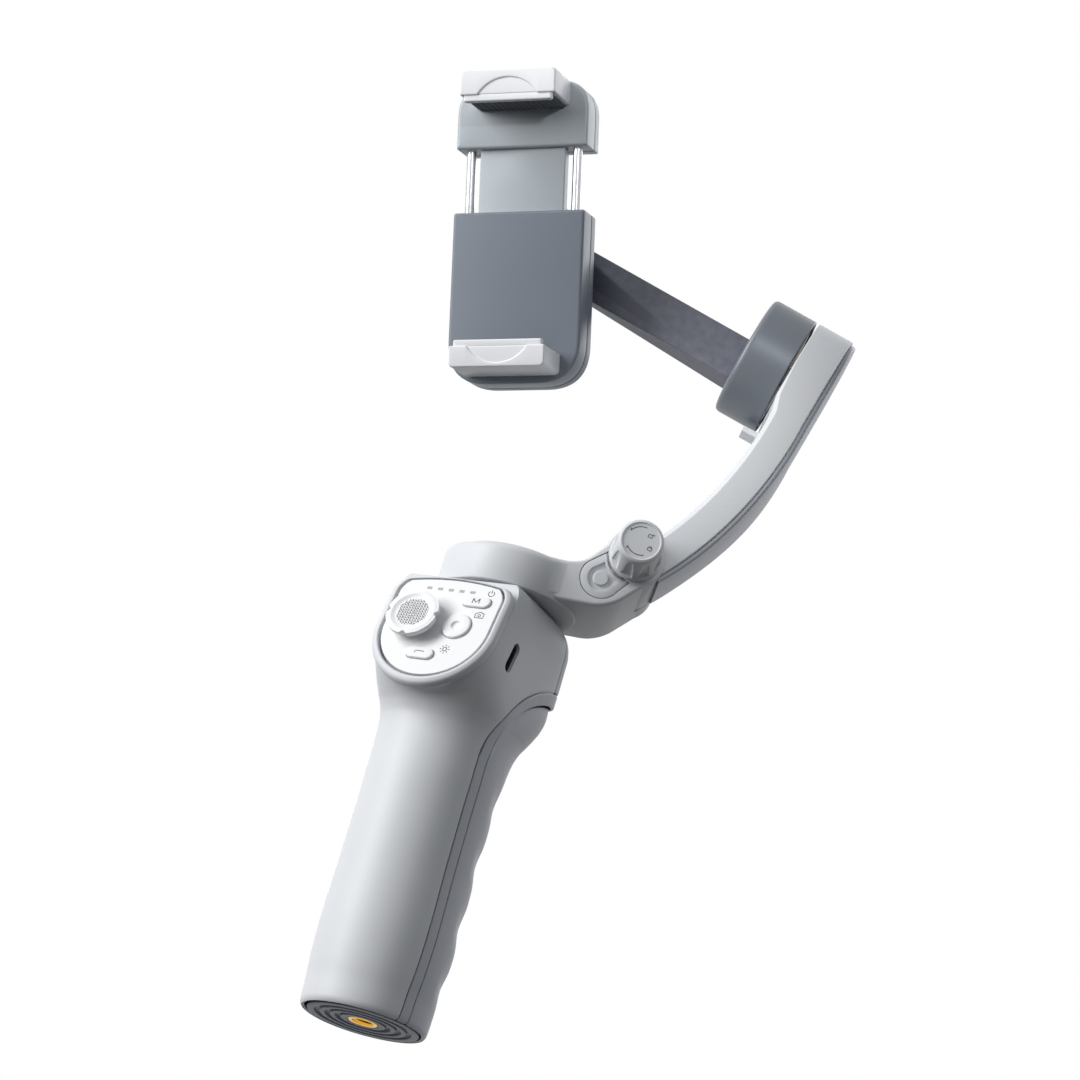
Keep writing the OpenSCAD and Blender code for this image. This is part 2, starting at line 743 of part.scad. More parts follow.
module on_pan() rotate(pan_rest) children();

// Side outline of the block that carries the fold hinge, from the base to the cheeks
module block_outline() {
    low = pan_z + block_low;
    rise = hinge_z - hinge_r * 0.8 - low;
    polygon(concat(
        [for (p = under_shares) [p[0] * hinge_x, low + p[1] * rise]],
        [[hinge_x + hinge_r * 0.62, hinge_z - hinge_r * 0.8], [hinge_x, hinge_z],
            [hinge_x - hinge_r * 0.9, hinge_z + hinge_r * 0.3]],
        [for (p = top_shares) [p[0] * hinge_x, pan_top + p[1] * hinge_up]],
        [[swell_x, pan_top - base_edge], [0, pan_top - base_edge]]));
    translate([hinge_x, hinge_z]) circle(r = hinge_r, $fn = round_fn);
}

// A cylinder along Y about the fold hinge, from one depth to another
module hinge_rod(r, y0, y1) translate([hinge_x, y1, hinge_z]) rotate([90, 0, 0])
    cylinder(r = r, h = y1 - y0, $fn = round_fn);

// A disc of the arm's base, with a small edge below and a round one above
module base_disc(r) translate([0, 0, pan_z]) rotate_extrude($fn = round_fn) polygon([
    [0, 0], [r - base_edge, 0], [r, base_edge], [r, pan_h - base_round],
    [r - base_round * 0.07, pan_h - base_round * 0.62], [r - base_round * 0.29, pan_h - base_round * 0.29],
    [r - base_round * 0.62, pan_h - base_round * 0.07], [r - base_round, pan_h], [0, pan_h]]);

module pan_arm_body() color(shell_c) on_pan() difference() {
    union() {
        hull() {
            base_disc(pan_r);
            translate([swell_x, 0, 0]) base_disc(swell_r);
        }
        translate([0, block_d / 2, 0]) rotate([90, 0, 0]) linear_extrude(height = block_d) block_outline();
        intersection() {
            linear_extrude(height = 2 * hinge_z) for (s = [-1, 1]) difference() {
                polygon([[swell_x, 0], [neck_x, s * neck_y], [neck_x, 0]]);
                translate([neck_x, s * neck_y]) circle(r = neck_r + neck_bite, $fn = round_fn);
            }
            translate([0, neck_y, 0]) rotate([90, 0, 0]) linear_extrude(height = 2 * neck_y)
                block_outline();
        }
    }
    hinge_rod(hinge_r + tongue_play, tongue_front - slide, tongue_rear + slide);
    translate([hinge_x - hinge_r * 0.72, tongue_front - slide, hinge_z])
        cube([4 * hinge_r, tongue_rear - tongue_front + 2 * slide, 2 * hinge_r]);
    translate([hinge_x, tongue_front - slide, hinge_z - hinge_r * 0.72])
        cube([4 * hinge_r, tongue_rear - tongue_front + 2 * slide, 2 * hinge_r]);
    hinge_rod(hinge_pin_r + fit, -block_d, block_d / 2 - pin_wall);
    inlay_space(inlay_t + fit, fit);
    post(pan_shaft_r + fit, 0, pan_z + pan_h / 2, 2 * small_fn);
}

// The inlay on the block's face: a strip that runs round the boss and the knob's foot
module inlay_space(deep, grow) {
    translate([hinge_x, -block_d / 2 + deep, hinge_z]) rotate([90, 0, 0])
        linear_extrude(height = deep + over) difference() {
            union() {
                translate([-boss_dx, boss_dz]) circle(r = inlay_r + grow, $fn = 48);
                rotate(atan2(boss_dz, -boss_dx)) translate([0, -inlay_hw - grow])
                    square([norm([boss_dx, boss_dz]), 2 * (inlay_hw + grow)]);
            }
            circle(r = knob_foot_r + inlay_gap - grow, $fn = 2 * small_fn);
        }
}
module at_boss() translate([hinge_x - boss_dx, -block_d / 2 + inlay_t / 2, hinge_z + boss_dz])
    rotate([90, 0, 0]) children();
module hinge_inlay() color(shell_c) on_pan() difference() {
    intersection() {
        inlay_space(inlay_t, -seam_gap / 2);
        translate([0, -block_d / 2, 0]) cube([3 * hinge_x, block_d, 2 * hinge_z]);
    }
    at_boss() cylinder(r = boss_r * 1.7, h = inlay_t, $fn = 48);
}
module hinge_boss() color(shell_c) on_pan() at_boss() rotate_extrude($fn = 48) polygon([[0, 0], [boss_r, 0],
    [boss_r, inlay_t / 2], [boss_r * 0.75, inlay_t / 2 + boss_up], [0, inlay_t / 2 + boss_up]]);

module pan_shaft() color("silver") on_pan()
    post(pan_shaft_r, stator_z + shaft_end, pan_z + pan_h / 2 - shaft_end, 2 * small_fn);

module hinge_pin() color("silver") on_pan()
    hinge_rod(hinge_pin_r, -block_d / 2 - knob_len + knob_cap * 1.35, block_d / 2 - pin_wall * 1.2);

module lock_knob() color(shell_c) on_pan() translate([hinge_x, -block_d / 2 - slide, hinge_z])
    rotate([90, 0, 0]) difference() {
        rotate_extrude($fn = round_fn) polygon([
            [0, 0], [knob_foot_r - knob_edge, 0], [knob_foot_r, knob_edge],
            [knob_foot_r, knob_foot_h], [knob_foot_r - knob_step, knob_foot_h + 2 * knob_step],
            [knob_top_r + knob_step, knob_len - knob_foot_h - 2 * knob_step],
            [knob_top_r + knob_edge / 4, knob_len - 2 * knob_edge], [knob_top_r - knob_round, knob_len],
            [knob_top_r - knob_round - knob_step, knob_len - knob_dip], [0, knob_len - knob_dip]]);
        for (k = [0:knob_flutes - 1]) rotate(360 * k / knob_flutes)
            translate([knob_foot_r + flute_r * 0.15, 0, knob_foot_h * 0.6]) rotate([0, -flute_lean, 0])
                cylinder(r1 = flute_r, r2 = flute_r * 0.7, h = knob_len * 0.7, $fn = 24);
        post(hinge_pin_r + fit, -over, knob_len - knob_cap, 2 * small_fn);
    }

// Point of the curved arm at an angle of its bend and a distance from the middle line
function arm_at(q, out, y) = [arm_cx + (arm_bend_r + out) * cos(q), y, arm_cz + (arm_bend_r + out) * sin(q)];
function arm_share(q) = soft_share((q - arm_wide_from) / (arm_to - 3 - arm_wide_from));
function arm_front(q) = tongue_front - (tilt_r + tongue_front) * arm_share(q);
function arm_rear(q) = tongue_rear + (tilt_r - tongue_rear) * arm_share(q);

// Point of the tilt motor's frame, where x runs up and z runs inward along the axis
function tilt_at(x, y, z) = [tilt_x + x * sin(tilt_lean) - z * cos(tilt_lean), y,
    tilt_z + x * cos(tilt_lean) + z * sin(tilt_lean)];

// Section of the arm with bevelled edges between two distances from its middle line
function arm_ring(q, in, out, b0, b1, side) =
    let (f = arm_front(q) + side, r = arm_rear(q) - side)
    [arm_at(q, in, f + b0), arm_at(q, in + b0, f), arm_at(q, out - b1, f), arm_at(q, out, f + b1),
     arm_at(q, out, r - b1), arm_at(q, out - b1, r), arm_at(q, in + b0, r), arm_at(q, in, r - b0)];

// The same section where the arm has become the tilt motor's cradle
function cradle_ring(x, in, out, b0, b1, side) =
    let (r = tilt_r - side)
    [tilt_at(x, b0 - r, in), tilt_at(x, -r, in - b0), tilt_at(x, -r, out + b1), tilt_at(x, b1 - r, out),
     tilt_at(x, r - b1, out), tilt_at(x, r, out + b1), tilt_at(x, r, in - b0), tilt_at(x, r - b0, in)];

module in_tilt() translate([tilt_x, 0, tilt_z]) rotate([0, tilt_lean - 90, 0]) children();

module fold_arm() color(shell_c) on_pan() difference() {
    union() {
        loft(concat(
            [for (k = [0:arm_n]) arm_ring(arm_wide_from + k / arm_n * (arm_to - arm_wide_from),
                -arm_t / 2, arm_out, arm_bevel, arm_edge, 0)],
            [for (p = [[0.7, 0.5], [0.35, 0.2], [0, 0.2]]) cradle_ring(-tilt_r * p[0], -tilt_gap / 2,
                tilt_floor, arm_bevel * p[1], arm_edge, 0)]));
        hinge_rod(hinge_r, tongue_front, tongue_rear);
        translate([0, tongue_rear, 0]) rotate([90, 0, 0]) linear_extrude(height = tongue_rear - tongue_front)
            polygon([for (p = [[arm_from, -arm_t / 2], [arm_wide_from + 0.4, -arm_t / 2],
                [arm_wide_from + 0.4, arm_out], [arm_from, arm_out]])
                let (a = arm_at(p[0], p[1], 0)) [a[0], a[2]]]);
        limit_tab();
    }
    in_tilt() post(tilt_r + fit, tilt_floor - over, tilt_inner);
    hinge_rod(hinge_pin_r + bush_t, tongue_front - over, tongue_rear + over);
}

// Small tab on the inner side of the arm that limits the tilt
module limit_tab() in_tilt() translate([-tilt_r - tab_gap - tab_t, -tab_w / 2, arm_t / 2 - tilt_outer])
    cube([tab_t, tab_w, arm_t / 2 + tab_len]);

module fold_strip() color(grey_c) on_pan() difference() {
    union() {
        loft(concat(
            [for (k = [0:arm_n]) arm_ring(arm_wide_from + k / arm_n * (arm_to - arm_wide_from),
                arm_t / 2 - strip_t, arm_t / 2, strip_edge / 2, strip_edge, strip_side)],
            [for (k = [0, 1]) cradle_ring(-tilt_r * 0.7 * (1 - k), strip_t - tilt_outer, -tilt_outer,
                strip_edge / 2, strip_edge, strip_side + k * fit)]));
        in_tilt() translate([0, 0, -tilt_outer]) rotate_extrude($fn = round_fn) polygon([[0, 0],
            [tilt_r - strip_side - strip_edge, 0], [tilt_r - strip_side, strip_edge],
            [tilt_r - strip_side, strip_t], [0, strip_t]]);
    }
    hinge_rod(hinge_r + strip_gap, -block_d, block_d);
}

module hinge_bush() color("darkgoldenrod") on_pan() difference() {
    hinge_rod(hinge_pin_r + bush_t - fit / 2, tongue_front + fit, tongue_rear - fit);
    hinge_rod(hinge_pin_r + fit, tongue_front - over, tongue_rear + over);
}

// A drum half: closed and rounded at its far end, open toward the other half
module drum_half(len) rotate_extrude($fn = round_fn) polygon([
    [0, 0], [tilt_r - drum_round, 0], [tilt_r - drum_round * 0.25, drum_round * 0.3], [tilt_r, drum_round],
    [tilt_r, len], [tilt_r - drum_wall, len], [tilt_r - drum_wall, drum_wall], [0, drum_wall]]);

module tilt_housing() color(grey_c) on_pan() in_tilt() translate([0, 0, tilt_floor])
    drum_half(-tilt_floor - tilt_gap / 2);
module tilt_stator() color("peru") on_pan() in_tilt() difference() {
    post(tilt_r - drum_wall - stator_play, tilt_floor + drum_wall, -tilt_gap, 2 * small_fn);
    post(motor_shaft_r + fit, -tilt_outer, over, 2 * small_fn);
}
module tilt_drum() color(grey_c) on_pan() in_tilt() difference() {
    translate([0, 0, tilt_inner + tilt_gap / 2]) mirror([0, 0, 1]) drum_half(tilt_inner);
    post(motor_shaft_r + fit / 2, 0, tilt_inner + tilt_gap / 2 - shaft_end, 2 * small_fn);
}
module tilt_shaft() color("silver") on_pan() in_tilt() {
    post(motor_shaft_r, tilt_floor + drum_wall + shaft_end, tilt_inner - shaft_end, 2 * small_fn);
    post(tilt_r - drum_wall - stator_play / 2, tilt_gap, tilt_gap + rotor_t, 2 * small_fn);
}

module in_clamp() translate([clamp_x, clamp_y, tilt_z + clamp_up]) rotate(clamp_turn) children();

// The clamp's frame turned so that heights run forward from the back of the roll motor's can
module in_can() in_clamp() translate([0, can_y + roll_can_t, 0]) rotate([90, 0, 0]) children();

module roll_plate() color(dark_c) on_pan() difference() {
    hull() {
        in_tilt() translate([-plate_w / 2, plate_back, tilt_inner + tilt_gap / 2])
            cube([plate_w, tilt_r * 0.52, plate_t / 2]);
        in_can() cylinder(r = plate_w / 2, h = plate_t, $fn = small_fn);
    }
    in_can() post(roll_can_r + fit, -2 * over, roll_can_t + over);
    in_clamp() translate([-body_w, -jaw_d, -body_w])
        cube([2 * body_w, jaw_d + can_y - roll_gap / 4, 2 * body_w]);
}
module roll_can() color(dark_c) on_pan() in_can() rotate_extrude($fn = round_fn) polygon([[0, 0],
    [roll_can_r - can_edge, 0], [roll_can_r, can_edge], [roll_can_r, roll_can_t],
    [roll_can_r - drum_wall, roll_can_t], [roll_can_r - drum_wall, drum_wall], [0, drum_wall]]);
module roll_stator() color("peru") on_pan() in_can() difference() {
    post(roll_can_r - drum_wall - stator_play / 2, drum_wall, roll_can_t - shaft_end, 2 * small_fn);
    post(motor_shaft_r + fit, 0, roll_can_t, 2 * small_fn);
}
module roll_shaft() color("silver") on_pan() in_can()
    post(motor_shaft_r, drum_wall + shaft_end, roll_can_t + roll_gap + back_t / 2, 2 * small_fn);

// Outline of a half of the clamp: two round corners at its far end, level at the other
module half_shape(w, far, near, r) {
    translate([-w / 2, -far + r]) square([w, far + near - r]);
    translate([-w / 2 + r, -far]) square([w - 2 * r, r * 1.1]);
    for (s = [-1, 1]) translate([s * (w / 2 - r), -far + r]) circle(r = r, $fn = 2 * small_fn);
}
// A slab of that outline standing in the clamp's frame, from one depth to another
module slab(y0, y1) translate([0, y1, 0]) rotate([90, 0, 0]) linear_extrude(height = y1 - y0) children();

module clamp_body() color(grey_c) on_pan() in_clamp() difference() {
    slab(body_front, body_front + body_t) half_shape(body_w, body_end, shut_edge, body_corner);
    translate([-tongue_hw - slide, tongue_y - slide, tongue_foot])
        cube([2 * (tongue_hw + slide), tongue_t + 2 * slide, 2 * body_end]);
    for (s = [-1, 1]) translate([s * rod_x, rod_y, 0]) post(rod_r + fit, rod_foot, body_end, small_fn);
}
// The back cover's outline in two layers, with a groove where it meets the front shell
module cover_slabs(near) {
    slab(body_front + body_t, body_front + body_t + part_groove)
        half_shape(body_w - 2 * part_in, body_end - part_in, near - part_gap, body_corner - part_in);
    slab(body_front + body_t + part_groove, body_front + body_t + back_t)
        half_shape(body_w, body_end, near, body_corner);
}
module clamp_back() color(grey_c) on_pan() in_clamp() difference() {
    cover_slabs(shut_edge);
    rotate([-90, 0, 0]) post(motor_shaft_r + fit / 2, body_front, body_front + body_t + back_t + over,
        2 * small_fn);
}

// A jaw reaching forward from the body, its lip and the thumb arc on its face
module jaw() {
    front = body_front - jaw_d;
    difference() {
        union() {
            translate([0, body_front, -jaw_top - jaw_h]) rotate([90, 0, 0]) linear_extrude(height = jaw_d) {
                translate([-jaw_w / 2, jaw_edge]) square([jaw_w, jaw_h - jaw_edge]);
                translate([-jaw_w / 2 + jaw_edge, 0]) square([jaw_w - 2 * jaw_edge, jaw_h]);
                for (s = [-1, 1]) translate([s * (jaw_w / 2 - jaw_edge), jaw_edge])
                    circle(r = jaw_edge, $fn = 24);
            }
            translate([-jaw_w / 2 + jaw_edge, front, -jaw_top - lip_h / 2])
                cube([jaw_w - 2 * jaw_edge, lip_d, lip_h * 1.5]);
        }
        translate([0, front + thumb_d, -jaw_top + thumb_up]) rotate([90, 0, 0]) difference() {
            post(thumb_r, 0, thumb_d + over, 2 * small_fn);
            translate([-2 * thumb_r, -thumb_up, -over]) cube([4 * thumb_r, 4 * thumb_r, thumb_d + 3 * over]);
        }
    }
}
module pad() translate([-jaw_w / 2 + pad_side, body_front - jaw_d + lip_d + pad_gap, -jaw_top])
    cube([jaw_w - 2 * pad_side, jaw_d - lip_d - 2 * pad_gap, pad_t]);

module lower_jaw() color(white_c) on_pan() in_clamp() jaw();
module lower_pad() color(dark_c) on_pan() in_clamp() pad();
module upper_jaw() color(white_c) on_pan() in_clamp() rotate([0, 180, 0]) jaw();
module upper_pad() color(dark_c) on_pan() in_clamp() rotate([0, 180, 0]) pad();

module upper_body() color(grey_c) on_pan() in_clamp() {
    difference() {
        rotate([0, 180, 0]) {
            slab(body_front, body_front + body_t) half_shape(body_w, body_end, -upper_edge, body_corner);
            cover_slabs(-upper_edge);
        }
        for (s = [-1, 1]) translate([s * rod_x, rod_y, 0])
            post(rod_r + fit / 2, 0, upper_edge + rod_hold, small_fn);
    }
    translate([-tongue_hw, tongue_y, tongue_foot + close_by + shaft_end])
        cube([2 * tongue_hw, tongue_t, upper_edge - tongue_foot - close_by]);
}
module guide_rods() color("silver") on_pan() in_clamp() for (s = [-1, 1]) translate([s * rod_x, rod_y, 0])
    post(rod_r, rod_foot + close_by + shaft_end, upper_edge + rod_hold - shaft_end, small_fn);

front_shell();
side_band();
rear_grip();
head_rear_cover();
foot_cap();
tripod_insert();
panel_bezel();
control_panel();
charge_lights();
usb_socket();
battery_cell();
battery_holder();
main_board();
panel_board();
stick_base();
pan_stator();
pan_bearing();
stick_carrier();
stick_cap();
mode_button();
shutter_button();
light_button();
pan_arm_body();
pan_shaft();
hinge_inlay();
hinge_boss();
hinge_pin();
lock_knob();
fold_arm();
fold_strip();
hinge_bush();
tilt_housing();
tilt_stator();
tilt_drum();
tilt_shaft();
roll_plate();
roll_can();
roll_stator();
roll_shaft();
clamp_body();
clamp_back();
lower_jaw();
lower_pad();
upper_body();
upper_jaw();
upper_pad();
guide_rods();
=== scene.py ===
# %% [markdown]
# # A folding phone stabiliser, dressed on its imported frame
# The frame is the real, measured part: every node of it already has its size, its place and
# its joints. Looks are added around it and never move it. So the frame is loaded first.

# %% Load the frame
import math

import bmesh
import bpy
import numpy as np
from mathutils import Matrix


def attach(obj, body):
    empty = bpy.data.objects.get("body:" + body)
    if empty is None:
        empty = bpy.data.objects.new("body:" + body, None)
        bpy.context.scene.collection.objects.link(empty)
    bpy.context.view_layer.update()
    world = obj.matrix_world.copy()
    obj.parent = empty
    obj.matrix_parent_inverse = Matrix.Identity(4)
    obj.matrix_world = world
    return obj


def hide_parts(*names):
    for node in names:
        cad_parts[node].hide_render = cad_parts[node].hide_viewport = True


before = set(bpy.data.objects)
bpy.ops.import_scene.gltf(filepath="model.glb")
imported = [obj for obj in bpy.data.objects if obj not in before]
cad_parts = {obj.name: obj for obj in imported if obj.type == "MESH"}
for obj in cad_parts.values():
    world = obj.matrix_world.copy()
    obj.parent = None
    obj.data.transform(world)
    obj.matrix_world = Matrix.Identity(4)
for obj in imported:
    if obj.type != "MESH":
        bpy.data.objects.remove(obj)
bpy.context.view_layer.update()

MM = 0.001

# %% [markdown]
# Shapes are worked out in millimetres, each in the frame of the part that carries it: the
# control panel leans back, the arm frame is turned about the handle's axis, the tilt motor
# leans on the arm, and the clamp is turned to face the camera. A 4x4 matrix carries points
# from such a frame to the row frame. Keeping one matrix for each carrier means that a piece
# can be drawn square and simple and still land exactly on its node.

# %% Places
def shift(x, y, z):
    """Matrix that moves points by x, y and z."""
    m = np.eye(4)
    m[:3, 3] = (x, y, z)
    return m


def turn(axis, degrees):
    """Matrix that turns points anticlockwise about one axis, seen from the axis' tip."""
    c, s = math.cos(math.radians(degrees)), math.sin(math.radians(degrees))
    i, j = {"X": (1, 2), "Y": (2, 0), "Z": (0, 1)}[axis]
    m = np.eye(4)
    m[i, i] = m[j, j] = c
    m[i, j], m[j, i] = -s, s
    return m


def put(points, where):
    """Points times the turn of the matrix, plus its move."""
    return points @ where[:3, :3].T + where[:3, 3]


ROW = np.eye(4)
PANEL_Y, PANEL_Z, PANEL_TILT = -26.5, 110, 75
PANEL = shift(0, PANEL_Y, PANEL_Z) @ turn("X", PANEL_TILT)
ARM = turn("Z", 28)
HINGE_X, HINGE_Z = 39.0, 154.1
BEND_R, ARM_T = 118.0, 12.0
BEND_START, BEND_END = -44.2, -11.7     # degrees about the middle of the bend
FORK_R = BEND_R - 3.7
ARM_CX = HINGE_X - FORK_R * math.cos(math.radians(BEND_START))
ARM_CZ = HINGE_Z - FORK_R * math.sin(math.radians(BEND_START))
LEAN_DEG = 14.3
LEAN, BEND_TIP = math.radians(LEAN_DEG), math.radians(BEND_END)
TILT_R, TILT_OUT = 19.4, 13.8
TILT_MID = TILT_OUT - ARM_T / 2
TILT_X = (ARM_CX + BEND_R * math.cos(BEND_TIP) + TILT_R * math.sin(LEAN)
          - TILT_MID * math.cos(LEAN))
TILT_Z = (ARM_CZ + BEND_R * math.sin(BEND_TIP) + TILT_R * math.cos(LEAN)
          + TILT_MID * math.sin(LEAN))
TILT = ARM @ shift(TILT_X, 0, TILT_Z) @ turn("Y", LEAN_DEG - 90)
CLAMP = (ARM @ shift(-24, 0.4, TILT_Z + 22.7) @ turn("Z", -22.3) @ turn("Y", -8.7)
         @ turn("X", 15.8))
HINGE = ARM @ shift(HINGE_X, 0, HINGE_Z) @ turn("X", 90)
print("tilt axis crosses the split at", round(TILT_X, 2), round(TILT_Z, 2))

# %% [markdown]
# Every piece here is a skin: a grid of points that is worked out as one array and joined by
# quads. Three ways are enough. A lathe turns a profile about an axis. A slab carries an
# outline through levels, each with its own inset, which gives it rounded edges. A sheet is an
# open grid that gets a wall and edges rolled inward, as a moulded shell has. Small helpers
# keep the skins closed, with their faces outward.

# %% Skins
def net(rows, cols, around=True, closed=False):
    """Quads over a grid: point (r, c) to (r, c + 1) to (r + 1, c + 1) to (r + 1, c). The last
    column joins the first if `around`, the last row the first if `closed`."""
    r = np.arange(rows if closed else rows - 1)[:, None]
    c = np.arange(cols if around else cols - 1)[None, :]
    here, below = r * cols, (r + 1) % rows * cols
    right = (c + 1) % cols
    return np.stack([here + c, here + right, below + right, below + c], -1).reshape(-1, 4)


def skin(rings, ladder=False):
    """Closed skin over equal rings of points, with a flat cap on the first and the last. A
    ladder cap joins point k to the k-th from the end, for outlines with a hollow in them."""
    rows, cols = rings.shape[:2]
    faces = net(rows, cols).tolist()
    first, last = np.arange(cols), np.arange(cols) + (rows - 1) * cols
    if ladder:
        k = np.arange(cols // 2 - 1)
        for ring, order in ((first, -1), (last, 1)):
            rungs = np.stack([ring[k], ring[k + 1], ring[cols - 2 - k], ring[cols - 1 - k]], 1)
            faces += rungs[:, ::order].tolist()
    else:
        faces += [first[::-1].tolist(), last.tolist()]
    return rings.reshape(-1, 3), faces


def hoop(rings):
    """Skin without ends: the last ring of points is joined to the first."""
    return rings.reshape(-1, 3), net(*rings.shape[:2], closed=True).tolist()


def polar(r, q):
    """Points (r cos q, r sin q) of the plane."""
    return np.stack([r * np.cos(q), r * np.sin(q)], -1)


def polar_grid(r, q, z):
    """Points (r cos q, r sin q, z), with the three stretched to one shape."""
    return np.stack(np.broadcast_arrays(r * np.cos(q), r * np.sin(q), z), -1)


def circle_outline(r, count=160):
    """Circle of radius r as an outline."""
    return polar(r, np.linspace(0, 2 * np.pi, count, endpoint=False))


def raised(outline, z):
    """A flat outline at the height z."""
    return np.column_stack([outline, np.full(len(outline), z)])


def lathe(profile, count=96, join=skin):
    """Profile of (radius, height) turned about Z: x = r cos q, y = r sin q."""
    p = np.asarray(profile, float)
    q = np.linspace(0, 2 * np.pi, count, endpoint=False)
    return join(polar_grid(p[:, :1], q, p[:, 1:]))


def soften(points, radius, steps=5):
    """Polyline whose inner corners become curves: (1-s)^2 a + 2s(1-s) corner + s^2 b."""
    p = np.asarray(points, float)
    radius = np.broadcast_to(radius, len(p))
    out = [p[:1]]
    s = np.linspace(0, 1, steps)[:, None]
    for k in range(1, len(p) - 1):
        back, ahead = p[k - 1] - p[k], p[k + 1] - p[k]
        reach = min(radius[k], np.linalg.norm(back) * 0.48, np.linalg.norm(ahead) * 0.48)
        a = p[k] + back / max(np.linalg.norm(back), 1e-9) * reach
        b = p[k] + ahead / max(np.linalg.norm(ahead), 1e-9) * reach
        out.append((1 - s) ** 2 * a + 2 * s * (1 - s) * p[k] + s ** 2 * b)
    out.append(p[-1:])
    return np.concatenate(out)


def rounded(corners, radius, steps=8):
    """Closed outline whose corners are curves, made by softening the loop past its ends."""
    c = np.asarray(corners, float)
    radius = np.broadcast_to(radius, len(c))
    middle = (c[0] + c[-1]) / 2
    loop = np.concatenate([[middle], c, [middle]])
    return soften(loop, np.concatenate([[0], radius, [0]]), steps)[:-1]


def even(outline, count):
    """The same closed outline with count points at equal steps of its length."""
    loop = np.concatenate([outline, outline[:1]])
    way = np.concatenate([[0], np.cumsum(np.linalg.norm(np.diff(loop, axis=0), axis=1))])
    at = np.linspace(0, way[-1], count, endpoint=False)
    return np.stack([np.interp(at, way, loop[:, k]) for k in range(loop.shape[1])], 1)


def inset(outline, distance):
    """Outline moved inward: each point goes along the mean normal of its two sides."""
    side = np.roll(outline, -1, 0) - outline
    side = side / np.linalg.norm(side, axis=1, keepdims=True)
    normal = np.stack([side[:, 1], -side[:, 0]], 1)
    mean = normal + np.roll(normal, 1, 0)
    mean = mean / np.linalg.norm(mean, axis=1, keepdims=True)
    lean = np.clip((mean * normal).sum(1, keepdims=True), 0.5, 1)
    return outline - mean * distance / lean


def slab(outline, levels, ladder=False):
    """Outline at each (height, inset) of the levels, joined to a closed body."""
    return skin(np.array([raised(inset(outline, d), z) for z, d in levels]), ladder)


def round_levels(low, high, edge_low, edge_high, steps=5):
    """Levels of a slab with quarter-round edges: inset = r (1 - cos a), height by r sin a."""
    a = np.linspace(np.pi / 2, 0, steps)
    return ([(low + edge_low * (1 - math.sin(q)), edge_low * (1 - math.cos(q))) for q in a]
            + [(high - edge_high * (1 - math.sin(q)), edge_high * (1 - math.cos(q)))
               for q in a[::-1]])


# %% [markdown]
# A moulded shell is a wall of plastic about a millimetre thick whose edges are rolled in
# where it meets the next shell. Solidify could give the wall, but its edge would be square and
# would not catch light as the real seams do. So the sheet's border is walked once: each of its
# points steps outward in the surface and down along the normal, on a quarter circle.

# %% Sheets with rolled edges
def normals_of(grid):
    """Unit normal at each grid point: the cross of its differences along rows and columns."""
    down, over = np.gradient(grid, axis=0), np.gradient(grid, axis=1)
    n = np.cross(over, down)
    return n / np.maximum(np.linalg.norm(n, axis=2, keepdims=True), 1e-12)


def sheet(grid, wall, roll, steps=4):
    """Closed shell from an open grid: border rings at out * r sin a - normal * r (1 - cos a),
    then straight down to the wall's depth, then the inner face, one wall below the outer."""
    rows, cols = grid.shape[:2]
    n = normals_of(grid)
    index = np.arange(rows * cols).reshape(rows, cols)
    walk = np.concatenate([index[0, :], index[1:, -1], index[-1, -2::-1], index[-2:0:-1, 0]])
    flat, flat_n = grid.reshape(-1, 3), n.reshape(-1, 3)
    edge, edge_n = flat[walk], flat_n[walk]
    along = np.roll(edge, -1, 0) - np.roll(edge, 1, 0)
    out = np.cross(along, edge_n)
    out = out / np.maximum(np.linalg.norm(out, axis=1, keepdims=True), 1e-12)
    within = np.concatenate([index[1, :], index[1:, -2], index[-2, -2::-1], index[-2:0:-1, 1]])
    if ((edge - flat[within]) * out).sum() < 0:
        out = -out
    r = np.broadcast_to(roll, (rows, cols)).reshape(-1)[walk][:, None]
    rings = [edge + out * r * math.sin(q) - edge_n * r * (1 - math.cos(q))
             for q in np.linspace(0, np.pi / 2, steps + 1)[1:]]
    rings.append(rings[-1] - edge_n * np.maximum(wall - r, 0.05))
    base = rows * cols
    faces = net(rows, cols, False).tolist()
    before, count = walk, len(walk)
    nxt = (np.arange(count) + 1) % count
    start = base + len(rings) * count
    inner_edge = start + walk
    for ring in [base + k * count + np.arange(count) for k in range(len(rings))] + [inner_edge]:
        faces += np.stack([before, before[nxt], ring[nxt], ring], 1).tolist()
        before = ring
    faces += (net(rows, cols, False)[:, ::-1] + start).tolist()
    return np.concatenate([flat, *rings, flat - flat_n * wall]), faces


# %% [markdown]
# One helper turns skins into a finished object. Doubles are merged, which closes the poles of
# a lathe, the faces are turned outward, large flat ends stay flat, and edges sharper than a
# given angle stay sharp under smooth shading. All this is done in millimetres and scaled last:
# in metres the corners of a large flat face lie so close that Blender fills it wrongly. The
# object stays at the origin, so its place is in its mesh alone.

# %% Make a piece
MERGE = 0.002       # mm within which two points become one
FLAT_END = 30       # a face with this many corners is an end, and is shaded flat
made = {}


def add(name, data):
    """New object, linked to the scene."""
    obj = bpy.data.objects.new(name, data)
    bpy.context.scene.collection.objects.link(obj)
    return obj


